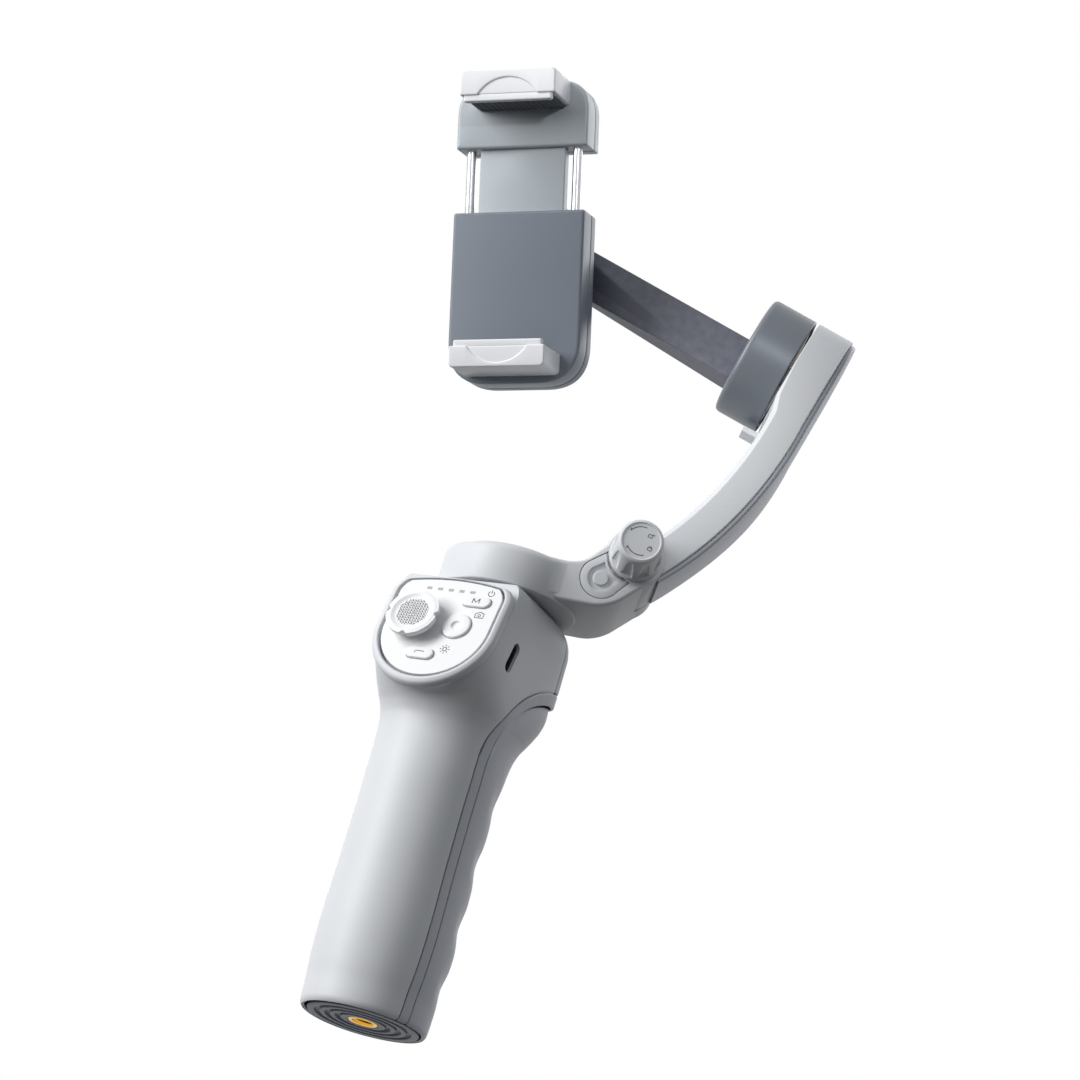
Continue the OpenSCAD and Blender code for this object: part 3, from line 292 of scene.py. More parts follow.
def cut_mesh(mesh, skins):
    """Takes closed skins (points in mm in the row frame) away from a mesh."""
    target = add("cut_target", mesh)
    tools = []
    for points, faces in skins:
        tool_mesh = bpy.data.meshes.new("cut_tool")
        tool_mesh.from_pydata(points.tolist(), [], faces)
        tools.append(add("cut_tool", tool_mesh))
    for o in (target, *tools):
        b = bmesh.new()
        b.from_mesh(o.data)
        bmesh.ops.remove_doubles(b, verts=b.verts, dist=MERGE)
        bmesh.ops.recalc_face_normals(b, faces=b.faces)
        b.to_mesh(o.data)
        b.free()
    for tool in tools:
        change = target.modifiers.new("cut", "BOOLEAN")
        change.operation, change.solver, change.object = "DIFFERENCE", "EXACT", tool
    bpy.context.view_layer.update()
    solved = target.evaluated_get(bpy.context.evaluated_depsgraph_get())
    copy = bmesh.new()
    copy.from_mesh(bpy.data.meshes.new_from_object(solved))
    copy.to_mesh(mesh)
    copy.free()
    for o in (target, *tools):
        bpy.data.objects.remove(o)


def piece(name, skins, where, body, finish, instead_of=(), crease=35, cut=()):
    """An object out of closed skins in the frame `where`; it rides on a body. The skins in
    `cut`, which lie in the row frame, are taken away from each of its own."""
    mesh = bpy.data.meshes.new(name)
    b = bmesh.new()
    for points, faces in skins:
        part = bpy.data.meshes.new("one_skin")
        part.from_pydata(put(np.asarray(points, float), where).tolist(), [], faces)
        if cut:
            cut_mesh(part, cut)
        b.from_mesh(part)
        bpy.data.meshes.remove(part)
    bmesh.ops.remove_doubles(b, verts=b.verts, dist=MERGE)
    bmesh.ops.dissolve_degenerate(b, edges=b.edges, dist=0.0001)
    bmesh.ops.recalc_face_normals(b, faces=b.faces)
    for f in b.faces:
        f.smooth = len(f.verts) < FLAT_END
    bmesh.ops.triangulate(b, faces=[f for f in b.faces if len(f.verts) > 4])
    bmesh.ops.scale(b, vec=(MM, MM, MM), verts=b.verts)
    b.to_mesh(mesh)
    b.free()
    mesh.set_sharp_from_angle(angle=math.radians(crease))
    obj = add(name, mesh)
    obj.data.materials.append(finish)
    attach(obj, body)
    if instead_of:
        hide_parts(*instead_of)
    made[name] = len(mesh.polygons)

# %% [markdown]
# The real part is made of a few finishes: satin silver paint on the front shell and the arms,
# a finely speckled grey on the grip, anodised grey on the motors, pale plastic on the panel
# and the jaws. Three effects return in all of them, so each is a node group, built once: the
# speckle of a moulded or painted skin, the wear that brightens edges, and edges that shine as
# if they were slightly round. The groups give colours, masks, heights and normals, and the
# shader itself stays in each material.

# %% Shared effects
def feed(tree, target, inputs):
    """Fills inputs of a node: a plain value is set, an output socket is joined."""
    for key, value in inputs.items():
        if isinstance(value, bpy.types.NodeSocket):
            tree.links.new(value, target.inputs[key])
        else:
            target.inputs[key].default_value = value
    return target


def node(tree, kind, inputs=None, **settings):
    """New shader node with its settings and its inputs."""
    new = tree.nodes.new("ShaderNode" + kind)
    for key, value in settings.items():
        setattr(new, key, value)
    return feed(tree, new, inputs or {})


def new_group(name, ins, outs):
    """Shader group with (name, kind, value) inputs and (name, kind) outputs. Returns it, the
    sockets that bring its inputs, and the node that takes its outputs."""
    group = bpy.data.node_groups.new(name, "ShaderNodeTree")
    sides = [("INPUT", *row) for row in ins] + [("OUTPUT", *row) for row in outs]
    for side, label, kind, *value in sides:
        socket = group.interface.new_socket(label, in_out=side, socket_type="NodeSocket" + kind)
        if value:
            socket.default_value = value[0]
    return group, group.nodes.new("NodeGroupInput").outputs, group.nodes.new("NodeGroupOutput")


def maths(tree, what, *values):
    """Math node; the values are numbers or sockets."""
    return node(tree, "Math", dict(enumerate(values)), operation=what).outputs[0]


def blend_colour(tree, how, amount, a, b):
    """Mix node on colours; each value is a number, a colour or a socket."""
    mix = node(tree, "Mix", data_type="RGBA", blend_type=how)
    return feed(tree, mix, {0: amount, 6: a, 7: b}).outputs[2]


def noise(tree, scale, detail=2.0, rough=0.5):
    """Noise on Object coordinates, which are in metres; its grains are about 1 / scale wide."""
    place = node(tree, "TexCoord").outputs["Object"]
    return node(tree, "TexNoise", {"Vector": place, "Scale": scale, "Detail": detail,
                                   "Roughness": rough}).outputs["Fac"]


def swing(tree, what, amount):
    """Noise as a swing about zero: (noise - 0.5) times the amount."""
    return maths(tree, "MULTIPLY", maths(tree, "SUBTRACT", what, 0.5), amount)


PER_METRE = 1000.0
MID_GREY, PALE_GREY = (0.5, 0.5, 0.5, 1), (0.8, 0.8, 0.8, 1)
speckle_group, ins, out = new_group("Speckled skin", [
    ("Colour", "Color", MID_GREY), ("Grain mm", "Float", 0.5), ("Contrast", "Float", 0.1),
    ("Roughness", "Float", 0.4), ("Roughness play", "Float", 0.1)],
    [("Colour", "Color"), ("Roughness", "Float"), ("Height", "Float")])
t = speckle_group
fine = noise(t, maths(t, "DIVIDE", PER_METRE, ins["Grain mm"]), 3.0, 0.6)
level = maths(t, "ADD", 1.0, swing(t, fine, ins["Contrast"]))
level = maths(t, "ADD", level, swing(t, noise(t, PER_METRE / 34.0), 0.06))
level = node(t, "CombineColor", {k: level for k in range(3)}).outputs[0]
play = swing(t, noise(t, PER_METRE / 9.0, 4.0, 0.65), ins["Roughness play"])
feed(t, out, {"Colour": blend_colour(t, "MULTIPLY", 1.0, ins["Colour"], level),
              "Roughness": maths(t, "ADD", ins["Roughness"], play), "Height": fine})

wear_group, ins, out = new_group("Edge wear", [
    ("Colour", "Color", MID_GREY), ("Worn colour", "Color", PALE_GREY), ("Amount", "Float", 0.4)],
    [("Colour", "Color"), ("Mask", "Float")])
t = wear_group
shape = node(t, "NewGeometry").outputs["Pointiness"]
edge = node(t, "MapRange", {"Value": shape, "From Min": 0.52, "From Max": 0.60}).outputs[0]
patches = maths(t, "MULTIPLY", noise(t, PER_METRE / 3.0, 4.0, 0.6), 1.6)
mask = maths(t, "MULTIPLY", maths(t, "MULTIPLY", edge, patches), ins["Amount"])
mask = maths(t, "MINIMUM", mask, 1.0)
feed(t, out, {"Colour": blend_colour(t, "MIX", mask, ins["Colour"], ins["Worn colour"]),
              "Mask": mask})

soft_edge_group, ins, out = new_group("Soft edge", [("Radius mm", "Float", 0.3)],
                                      [("Normal", "Vector")])
t = soft_edge_group
radius = maths(t, "MULTIPLY", ins["Radius mm"], MM)
feed(t, out, {"Normal": node(t, "Bevel", {"Radius": radius}, samples=4).outputs[0]})
print("groups", [g.name for g in bpy.data.node_groups])

# %% [markdown]
# A finish is one material: the speckle group makes its colour and roughness vary, the wear
# group lightens its edges, and a bump takes its height from the same speckle. Colours are
# written as they look in sRGB, from 0 to 255, and turned into the linear numbers that the
# shader needs, so that they can be compared with the photograph directly.

# %% Finishes
def linear(r, g, b):
    """sRGB 0-255 to linear: ((c + 0.055) / 1.055) ** 2.4, or c / 12.92 in the darks."""
    c = np.array([r, g, b], float) / 255
    out = np.where(c <= 0.04045, c / 12.92, ((c + 0.055) / 1.055) ** 2.4)
    return (*out.tolist(), 1.0)


def finish(name, srgb, rough, metal=0.0, grain=0.5, contrast=0.1, bump=0.02, wear=0.15,
           soft=0.0, worn=(225, 227, 230), play=0.1):
    """A material: speckle and wear feed Base Color, Roughness and the Bump's Height. Grain,
    bump and soft are in mm; a soft of more than 0 makes sharp edges shine as if rounded."""
    mat = bpy.data.materials.new(name)
    mat.use_nodes = True
    tree = mat.node_tree
    speckle = node(tree, "Group", {
        "Colour": linear(*srgb), "Grain mm": grain, "Contrast": contrast, "Roughness": rough,
        "Roughness play": play}, node_tree=speckle_group).outputs
    edges = node(tree, "Group", {"Colour": speckle["Colour"], "Worn colour": linear(*worn),
                                 "Amount": wear}, node_tree=wear_group).outputs
    dents = node(tree, "Bump", {"Strength": 0.5, "Distance": bump * MM,
                                "Height": speckle["Height"]})
    if soft:
        rounding = node(tree, "Group", {"Radius mm": soft}, node_tree=soft_edge_group)
        feed(tree, dents, {"Normal": rounding.outputs["Normal"]})
    feed(tree, tree.nodes["Principled BSDF"], {
        "Metallic": metal, "Specular IOR Level": 0.36, "Base Color": edges["Colour"],
        "Roughness": speckle["Roughness"], "Normal": dents.outputs[0]})
    return mat


def two_finishes(name, frame_name, soft, *looks, **more):
    """One finish for dressed pieces, and the same with soft edges for nodes of the frame."""
    return finish(name, *looks, **more), finish(frame_name, *looks, soft=soft, **more)


silver, silver_cad = two_finishes("satin_silver_paint", "satin_silver_paint_frame", 0.35,
                                  (212, 214, 217), 0.5, 0.02, 0.35, 0.04, 0.012, 0.12, play=0.04)
grey, grey_cad = two_finishes("speckled_grey_grip", "speckled_grey_frame", 0.3,
                              (172, 175, 182), 0.46, 0.08, 0.42, 0.22, 0.03, 0.12)
motor, motor_cad = two_finishes("anodised_motor_grey", "anodised_motor_grey_frame", 0.35,
                                (118, 124, 132), 0.42, 0.25, 0.3, 0.1, 0.012, 0.25, play=0.05)
pale, pale_cad = two_finishes("pale_panel_plastic", "pale_panel_plastic_frame", 0.2,
                              (238, 239, 240), 0.42, 0.0, 0.3, 0.03, 0.008, 0.05,
                              worn=(245, 245, 246), play=0.04)
# One clamp grey in two copies: darker on the lower half and its cover as painted shade, lighter on
# the upper half as painted light from above.
clamp_shade_grey = finish("clamp_body_painted_shade", (116, 123, 133), 0.45, 0.05, 0.4, 0.1, 0.02, 0.2, play=0.05)
clamp_lit_grey = finish("clamp_upper_painted_light", (168, 175, 180), 0.44, 0.08, 0.4, 0.12, 0.02, 0.2)
strip_grey = finish("arm_strip_grey", (150, 155, 164), 0.42, 0.12, 0.4, 0.12, 0.02, 0.15)
jaw_white = finish("white_jaw_plastic", (236, 237, 240), 0.45, 0.0, 0.6, 0.03, 0.02, 0.1,
                   worn=(246, 246, 248))
# Grey of the printed marks; the stick cap's dark dots use it too, as painted shade in the hollows
# between its studs.
print_and_shade_grey = finish("print_and_painted_shade_grey", (92, 94, 98), 0.6, 0.0, 0.2, 0.1, 0.004, 0.0)
foot_dark = finish("foot_cap_dark", (82, 88, 98), 0.5, 0.2, 0.4, 0.2, 0.03, 0.3,
                   worn=(140, 146, 156))
plate_dark = finish("roll_plate_dark", (82, 84, 97), 0.4, 0.25, 0.4, 0.12, 0.02, 0.3, 0.5,
                    (150, 152, 160))
rubber = finish("soft_rubber_pad", (70, 74, 80), 0.8, 0.0, 0.5, 0.25, 0.08, 0.15, 0.2,
                (110, 113, 118))
brass = finish("turned_brass", (214, 164, 58), 0.28, 1.0, 0.25, 0.1, 0.01, 0.2,
               worn=(240, 205, 120))
steel = finish("ground_steel", (176, 178, 182), 0.3, 1.0, 0.2, 0.12, 0.01, 0.2, 0.15)
board = finish("green_board", (38, 84, 58), 0.5, 0.0, 1.2, 0.35, 0.02, 0.1, 0.1, (170, 150, 90))
copper = finish("wound_copper", (176, 106, 64), 0.35, 0.9, 0.5, 0.4, 0.06, 0.2, 0.2)
cell = finish("cell_sleeve", (58, 120, 96), 0.45, 0.0, 3.0, 0.1, 0.01, 0.1, 0.2)
hole_black = finish("dark_inside", (30, 32, 36), 0.6, 0.0, 0.5, 0.2, 0.02, 0.0, 0.15)
lamp_glass = finish("charge_light_window", (176, 172, 166), 0.3, 0.0, 0.4, 0.1, 0.004, 0.0)
print(len(bpy.data.materials), "finishes")

# %% [markdown]
# Every node of the frame that stays in view needs a real finish too. Nodes are listed by
# finish, and each object's material slots are filled with it. Their edges are sharp, as an
# exact model's are, so these finishes use the group that makes edges shine as if rounded.

# %% Finishes of the frame
frame_finish = (
    (silver_cad, "front_shell panel_bezel pan_arm_body hinge_inlay hinge_boss lock_knob fold_arm"),
    (grey_cad, "side_band rear_grip head_rear_cover"),
    (motor_cad, "fold_strip tilt_housing tilt_drum"),
    (pale_cad, "control_panel stick_cap mode_button shutter_button light_button"),
    (hole_black, "usb_socket battery_holder stick_base stick_carrier"),
    (steel, "pan_bearing pan_shaft hinge_pin tilt_shaft roll_shaft guide_rods"),
    (copper, "pan_stator tilt_stator roll_stator"),
    (brass, "tripod_insert hinge_bush"), (plate_dark, "roll_plate roll_can"),
    # The clamp's nodes take the clamp grey darkened as painted shade.
    (clamp_shade_grey, "clamp_body clamp_back upper_body"), (jaw_white, "lower_jaw upper_jaw"),
    (rubber, "lower_pad upper_pad"), (board, "main_board panel_board"),
    (cell, "battery_cell"), (lamp_glass, "charge_lights"), (foot_dark, "foot_cap"))
finish_of = {name: look for look, names in frame_finish for name in names.split()}
for name, node_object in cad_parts.items():
    node_object.data.materials.clear()
    node_object.data.materials.append(finish_of[name])
print("nodes with a finish", len(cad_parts))

# %% [markdown]
# The handle is one moulded form: an oval grip that swells into a squarer head, with shallow
# waves for the fingers down its back. Its section at each height is a superellipse, whose
# half-width, two depths and squareness change up the handle. A list of rows holds these
# shares, and smooth cubics join them, so the skin has no facets. The same surface then serves
# all four shells, which only differ in the part of it that they cover.

# %% The handle's surface
HANDLE_H = 133.0
GRIP, HEAD = (19.6, 20.6, 19.4), (20.3, 30.0, 28.0)     # half-width, depth in front, behind
FLARE = 0.1
WAVE_DEEP, WAVE_FIRST, WAVE_STEP = 0.9, 34, 19.4
SEAM_Z, BACK_Y = 81, 28     # height where the seams begin to bend, depth where they are level
FRONT_SEAM, REAR_SEAM = (-10, 114.5), (-6.6, 110)       # depth on the grip, height behind
GAP = 0.25
# A row: share of the height, width, how far front and back are from grip to head, power
handle_rows = np.array([
    (0, 0.925, 0, 0, 2.05), (0.009, 0.957, 0, 0, 2.05), (0.06, 0.975, 0, 0, 2.05),
    (0.095, 0.995, 0, 0, 2.05), (0.13, 1.008, 0, 0, 2.05), (0.165, 1.016, 0, 0, 2.05),
    (0.2, 1.02, 0, 0, 2.05), (0.27, 1.015, 0, 0, 2.05), (0.34, 1.005, 0, 0, 2.05),
    (0.41, 1.002, 0, 0, 2.05), (0.48, 1, 0, 0.01, 2.05), (0.515, 1, 0, 0.03, 2.05),
    (0.55, 0.998, 0, 0.07, 2.08), (0.59, 0.992, 0, 0.14, 2.1), (0.63, 0.985, 0.01, 0.25, 2.15),
    (0.665, 0.98, 0.06, 0.4, 2.25), (0.692, 0.985, 0.2, 0.52, 2.45),
    (0.716, 0.995, 0.42, 0.64, 2.8), (0.74, 1, 0.66, 0.76, 3.2), (0.765, 1, 0.85, 0.88, 3.7),
    (0.795, 1, 0.97, 0.98, 4.3), (0.83, 1, 1, 1, 4.8), (0.9, 1, 1, 1, 5), (0.94, 1, 1, 1, 5),
    (0.965, 0.984, 1, 1, 4.9), (0.982, 0.956, 1, 0.98, 4.7), (0.994, 0.918, 1, 0.95, 4.5),
    (1, 0.88, 1, 0.92, 4.4)])


def smooth_through(x, y, at):
    """Monotone cubic through points: Hermite pieces whose slopes are harmonic means."""
    h, d = np.diff(x), np.diff(y) / np.diff(x)
    slope = np.zeros(len(x))
    same = d[:-1] * d[1:] > 0
    w1, w2 = 2 * h[1:] + h[:-1], h[1:] + 2 * h[:-1]
    bottom = np.where(same, w1 / np.where(same, d[:-1], 1) + w2 / np.where(same, d[1:], 1), 1)
    slope[1:-1] = np.where(same, (w1 + w2) / bottom, 0)
    slope[0], slope[-1] = d[0], d[-1]
    k = np.clip(np.searchsorted(x, at, side="right") - 1, 0, len(x) - 2)
    s = (at - x[k]) / h[k]
    return ((1 + 2 * s) * (1 - s) ** 2 * y[k] + s * (1 - s) ** 2 * h[k] * slope[k]
            + s * s * (3 - 2 * s) * y[k + 1] + s * s * (s - 1) * h[k] * slope[k + 1])


def handle_sizes(z):
    """Half-width, front depth, rear depth, power, wave depth and flare at height z."""
    share = np.clip(z / HANDLE_H, 0, 1)
    swell, front, rear, power = (smooth_through(handle_rows[:, 0], handle_rows[:, k], share)
                                 for k in range(1, 5))
    sizes = [(GRIP[k] * (1 - s) + HEAD[k] * s) * swell for k, s in enumerate((rear, front, rear))]
    wave = WAVE_DEEP * ((1 + np.cos(2 * np.pi * (z - WAVE_FIRST) / WAVE_STEP)) / 2) ** 1.5
    wave = wave * np.clip(z / 16, 0, 1) * (1 - np.clip(rear * 4, 0, 1))
    return *sizes, power, wave, FLARE * rear


def rim_plane_y(z, deep=3.0):
    """y of the plane `deep` mm under the control panel, at height z."""
    tilt = math.radians(PANEL_TILT)
    return PANEL_Y + deep / math.sin(tilt) + (z - PANEL_Z) * math.cos(tilt) / math.sin(tilt)


def handle_point(phi, z, flat=True):
    """Polar form of the superellipse: r = ((|cos|/a)^p + (|sin|/depth)^p)^(-1/p); the back dips
    by the wave, the width flares toward the back, the front is cut level with the panel."""
    a, f, b, p, wave, flare = handle_sizes(z)
    c, s = np.cos(phi), np.sin(phi)
    depth = np.where(s < 0, f, b)
    r = ((np.abs(c) / a) ** p + (np.abs(s) / depth) ** p) ** (-1 / p)
    x, y = r * c, r * s
    behind = np.clip(y / b / 0.35, 0, 1)
    dip = 1 - wave * behind * behind * (3 - 2 * behind) / r
    x, y = x * dip, y * dip
    x = x * (1 + flare * (y + f) / (b + f))
    if flat:
        y = np.maximum(y, rim_plane_y(z))
    return np.stack([x, y, z * np.ones_like(x)], -1)


def phi_at(y, z):
    """Angle at which the section at height z has depth y, on the right side."""
    a, f, b, p = handle_sizes(z)[:4]
    base = y * np.ones_like(z)
    share = np.clip(np.abs(base) / np.where(base < 0, f, b), 0, 0.999999)
    return np.arctan2(base, a * (1 - share ** p) ** (1 / p))


def seam_height(y, start, top):
    """Height of a seam at depth y: a quarter ellipse from (start, SEAM_Z) to (BACK_Y, top)."""
    c = np.clip(1 - (y - start) / (BACK_Y - start), 0, 1)
    return SEAM_Z + (top - SEAM_Z) * np.sqrt(1 - c * c)


def seam_depth(z, start, top):
    """Depth of the same seam at height z, for heights under its top."""
    s = np.clip((z - SEAM_Z) / (top - SEAM_Z), 0, 1)
    return start + (BACK_Y - start) * (1 - np.sqrt(1 - s * s))


print("head", 2 * HEAD[0], "by", HEAD[1] + HEAD[2], "mm, grip", 2 * GRIP[0], "by",
      GRIP[1] + GRIP[2], "mm")

# %% [markdown]
# The front shell runs round the front from seam to seam, and is painted satin silver. Near the
# back of the head its lower edge has a broad chamfer that catches the light, so the roll of
# its edge grows there. The window for the panel, the stick's cup and the charging port are cut
# out of it with closed bodies, as a mould's cores do.

# %% Front shell
EDGE = 0.35                 # roll of a shell's edge
COVER_Y = 18.0              # depth of the seam between front shell and rear cover
ROOF_Z = HANDLE_H - 0.3     # where the walls end and the head's top begins
z_straight = np.concatenate([[0.05], np.linspace(0.6, SEAM_Z, 120)[:-1]])
z_curve = SEAM_Z + (FRONT_SEAM[1] - SEAM_Z) * np.sin(np.radians(np.linspace(0, 74.2, 70)))
z_head = np.linspace(z_curve[-1], ROOF_Z, 46)[1:]
heights = np.concatenate([z_straight, z_curve, z_head])
chamfer = 0.8 * np.clip((heights - 97) / 10, 0, 1)
roll_row = EDGE + chamfer * np.clip((z_curve[-1] + 0.6 - heights) / 1.2, 0, 1)
limit = np.where(heights <= z_curve[-1], seam_depth(heights, *FRONT_SEAM), COVER_Y) - roll_row
limit = np.minimum(limit, COVER_Y - GAP - EDGE)
reach = phi_at(limit, heights) + np.pi / 2
u = np.linspace(-1, 1, 181)
phi = -np.pi / 2 + u[None, :] * reach[:, None]
front_grid = handle_point(phi, heights[:, None] * np.ones_like(phi))
front_roll = np.repeat(roll_row[:, None], len(u), 1)
front_roll[0, :], front_roll[-1, :] = 0.12, 0.3


def panel_outline(hw, top, count=64):
    """Half circle below, straight sides, and above them the lower one of two curves: corners
    of radius r, and a low arch, a circle of 72.4 mm that the top's middle touches."""
    low = polar(hw, np.linspace(np.pi, 2 * np.pi, count)) + (0, 3.7)
    r, arch_r, arch_top = 6.5 * hw / 16.9, 72.4, 21.6
    a = np.linspace(0, np.pi / 2, 22)
    x = np.concatenate([hw - r + r * np.cos(a), np.linspace(hw - r, 0, 16)[1:]])
    corner = np.sqrt(np.maximum(r * r - (x - hw + r) ** 2, 0))
    corner = np.where(x > hw - r, top - r + corner, top)
    arch = arch_top - arch_r + np.sqrt((arch_r + top - arch_top) ** 2 - x * x)
    right = np.stack([x, np.minimum(corner, arch)], 1)
    return np.concatenate([low, right, (right * [-1, 1])[-2::-1]])


def bar_outline(length, height, count=20):
    """Two half circles joined by straight sides."""
    end = polar(height / 2, np.linspace(-np.pi / 2, np.pi / 2, count))
    end = end + ((length - height) / 2, 0)
    return np.concatenate([end, -end])


def prism(outline, low, high, where):
    """Square-edged body over an outline, for cutting, moved to the row frame."""
    points, faces = skin(np.array([raised(outline, z) for z in (low, high)]))
    return put(points, where), faces


def across(phi, share):
    """Angles from phi on the right, round the back, to the same place on the left."""
    return phi + (np.pi - 2 * phi) * share


def roof_outline(at_front):
    """Edge of the head's top in front of or behind the cover's seam, 0.35 mm in."""
    cut_y = COVER_Y - 0.3 if at_front else COVER_Y + 0.05
    edge_phi = float(phi_at(np.array(cut_y), np.array(ROOF_Z)))
    share = np.linspace(0, 1, 97)
    if at_front:
        q = -np.pi / 2 + (edge_phi + np.pi / 2) * (2 * share - 1)
    else:
        q = across(edge_phi, share)
    return inset(handle_point(q, np.full(q.shape, ROOF_Z))[:, :2], 0.35)


roof_levels = [(HANDLE_H - 1.8, 0), (HANDLE_H - 0.32, 0), (HANDLE_H - 0.1, 0.15),
               (HANDLE_H - 0.02, 0.45)]
PORT = PANEL @ shift(20.3, 5, -12.5) @ turn("Y", 90) @ turn("Z", 90)
STICK_AT = (-7.2, 5.8)
cores = [prism(panel_outline(14.9, 19.6), -13, 1, PANEL),
         prism(bar_outline(9.9, 3.7), -7.15, 4, PORT),
         prism(circle_outline(7.7, 64) + STICK_AT, -8.35, 4.2, PANEL),
         prism(circle_outline(8.05, 64), 129, 136, ROW)]
roof = slab(roof_outline(True), roof_levels)
piece("front_shell_skin", [sheet(front_grid, 1.0, front_roll), roof], ROW, "handle", silver,
      ["front_shell"], cut=cores)
print("front shell", made["front_shell_skin"], "faces")

# %% [markdown]
# The side band is one thin strip between the two seams: it climbs the right side of the grip,
# sweeps round the back under the head and comes down the left side. The rear grip fills what is
# left below it, and its skin sinks a little just under the band, where the real one is scooped
# out for the forefinger. The rear cover closes the head's back.

# %% Band, rear grip and rear cover
def settle(phi, start, top, out, rounds):
    """Heights at which a seam, moved by `out`, crosses the skin at the angles phi. Each round
    takes the mean of the last height and the seam's height at the skin's depth there."""
    z = np.full(phi.shape, float(SEAM_Z))
    for _ in range(rounds):
        y = handle_point(phi, z, False)[:, 1]
        z = 0.5 * z + 0.5 * (seam_height(np.minimum(y - out, BACK_Y), start, top) - out)
    return z


def on_curve(path, start, top, out):
    """Points (phi, z) of a seam: straight up at depth `start`, then along its ellipse."""
    z1 = 0.3 + path[path <= 1] * (SEAM_Z - 0.3)
    phi1 = phi_at(np.full(z1.shape, start + out), z1)
    phi2 = phi1[-1] + (np.pi / 2 - phi1[-1]) * (path[path > 1] - 1)
    return np.concatenate([phi1, phi2]), np.concatenate([z1, settle(phi2, start, top, out, 30)])


path = np.concatenate([np.linspace(0, 1, 110), 1 + np.linspace(0, 1, 130)[1:] ** 0.8])
upper, lower = on_curve(path, *FRONT_SEAM, GAP + EDGE), on_curve(path, *REAR_SEAM, -EDGE)
c = np.linspace(0, 1, 15)[None, :]
band_phi, band_z = (a[:, None] * (1 - c) + b[:, None] * c for a, b in zip(upper, lower))
half_band = handle_point(band_phi, band_z, False)
band_grid = np.concatenate([half_band[:-1], half_band[::-1] * [-1, 1, 1]])
piece("side_band_skin", [sheet(band_grid, 0.9, EDGE)], ROW, "handle", grey,
      ["side_band"])

share = (1 - np.cos(np.pi * np.linspace(0, 1, 161))) / 2
side_y = REAR_SEAM[0] + GAP + EDGE
side_phi = phi_at(np.full(1, side_y), np.full(1, 60.0))[0]
edge_z = settle(across(side_phi, share), *REAR_SEAM, GAP + EDGE, 40)[None, :]
grip_z = 0.3 + np.linspace(0, 1, 230)[:, None] * (edge_z - 0.3)
side_phi = phi_at(np.full(len(grip_z), side_y), np.minimum(grip_z[:, 0], SEAM_Z))
grip_grid = handle_point(across(side_phi[:, None], share[None, :]), grip_z, False)
under_band = np.clip(1 - (edge_z - grip_z) / 9.0, 0, 1)
turning = np.clip((edge_z - 84) / 14, 0, 1)
scoop = 1.3 * under_band ** 1.5 * turning ** 1.2
grip_grid = grip_grid - normals_of(grip_grid) * scoop[..., None]
piece("rear_grip_skin", [sheet(grip_grid, 0.9, EDGE)], ROW, "handle", grey,
      ["rear_grip"])

seam_y, share = COVER_Y + EDGE, np.linspace(0, 1, 91)
cover_phi = across(phi_at(np.full(1, seam_y), np.full(1, 124.0))[0], share)
cover_low = np.full(cover_phi.shape, 114.0)
for _ in range(20):
    y = handle_point(cover_phi, cover_low, False)[:, 1]
    cover_low = seam_height(np.minimum(y, BACK_Y), *FRONT_SEAM) + GAP + EDGE
cover_z = cover_low[None, :] + np.linspace(0, 1, 50)[:, None] * (ROOF_Z - cover_low[None, :])
side_phi = phi_at(np.full(len(cover_z), seam_y), cover_z[:, 0])
cover_grid = handle_point(across(side_phi[:, None], share[None, :]), cover_z, False)
cover_roll = np.full(cover_grid.shape[:2], EDGE)
cover_roll[0, :] = 0.45
roof = slab(roof_outline(False), roof_levels)
piece("head_rear_cover_skin", [sheet(cover_grid, 1.0, cover_roll), roof], ROW, "handle", grey,
      ["head_rear_cover"])
print("band, grip and cover",
      [made[k + "_skin"] for k in ("side_band", "rear_grip", "head_rear_cover")])

# %% [markdown]
# Round the control panel lies a rim with a soft outer shoulder. It is one profile carried along
# the panel's outline: up the groove's wall, over a narrow crown and down a wide curve to the
# shell. Each ring of it is the outline at another inset and height, so its corners stay even.

# %% Rim of the panel
GROOVE, RIM_POINTS = 0.8, 220
crown = soften([(0.0, -2.6), (0.0, -0.25), (0.3, 0.0), (0.9, 0.0), (2.0, -0.55), (2.4, -1.7),
                (2.15, -3.0), (1.2, -3.2)], [0, 0.3, 0.25, 0.7, 0.9, 0.8, 0.4, 0], 6)
rings = [raised(even(panel_outline(16.9 + GROOVE + d, 22.0 + 0.35 * d), RIM_POINTS), h)
         for d, h in crown]
piece("panel_rim", [hoop(np.array(rings))], PANEL, "handle", silver,
      ["panel_bezel"])
print("rim", made["panel_rim"], "faces")

# %% [markdown]
# The panel plate itself is flat and stays the frame's own node, with its exact holes. On it lie
# plain printed marks that such controls have: power, a camera, a sun and the letter M. A mark
# is a set of strokes, each a thin ribbon along a short path, a few hundredths of a millimetre
# thick, so it reads as print and never as a separate lump.

# %% Strokes
def stroke(path_points, width, low, high, closed=False):
    """Ribbon along a path: each point is set half a width to both sides along the normal."""
    p = np.asarray(path_points, float)
    along = np.roll(p, -1, 0) - np.roll(p, 1, 0) if closed else np.gradient(p, axis=0)
    along = along / np.maximum(np.linalg.norm(along, axis=1, keepdims=True), 1e-9)
    side = np.stack([-along[:, 1], along[:, 0]], 1) * width / 2
    corners = [(p + side, high), (p - side, high), (p - side, low), (p + side, low)]
    rings = np.stack([raised(q, h) for q, h in corners], 1)
    return hoop(rings) if closed else skin(rings)


def arc(cx, cy, r, a0, a1, count=24):
    """Points of a circle about (cx, cy) between two angles in degrees."""
    return polar(r, np.radians(np.linspace(a0, a1, count))) + (cx, cy)


FACE, INK = -0.3, 0.26      # height of the panel's face, width of a printed line
POWER, SUN, CAMERA = (12.6, 18.3), (5.9, -3.3), (11.9, 10.1)


def on_panel(path_points, place, width=INK, closed=False):
    """Stroke printed on the panel, with its mark's middle at the place."""
    return stroke(np.asarray(path_points, float) + place, width, FACE - 0.05, FACE + 0.03, closed)


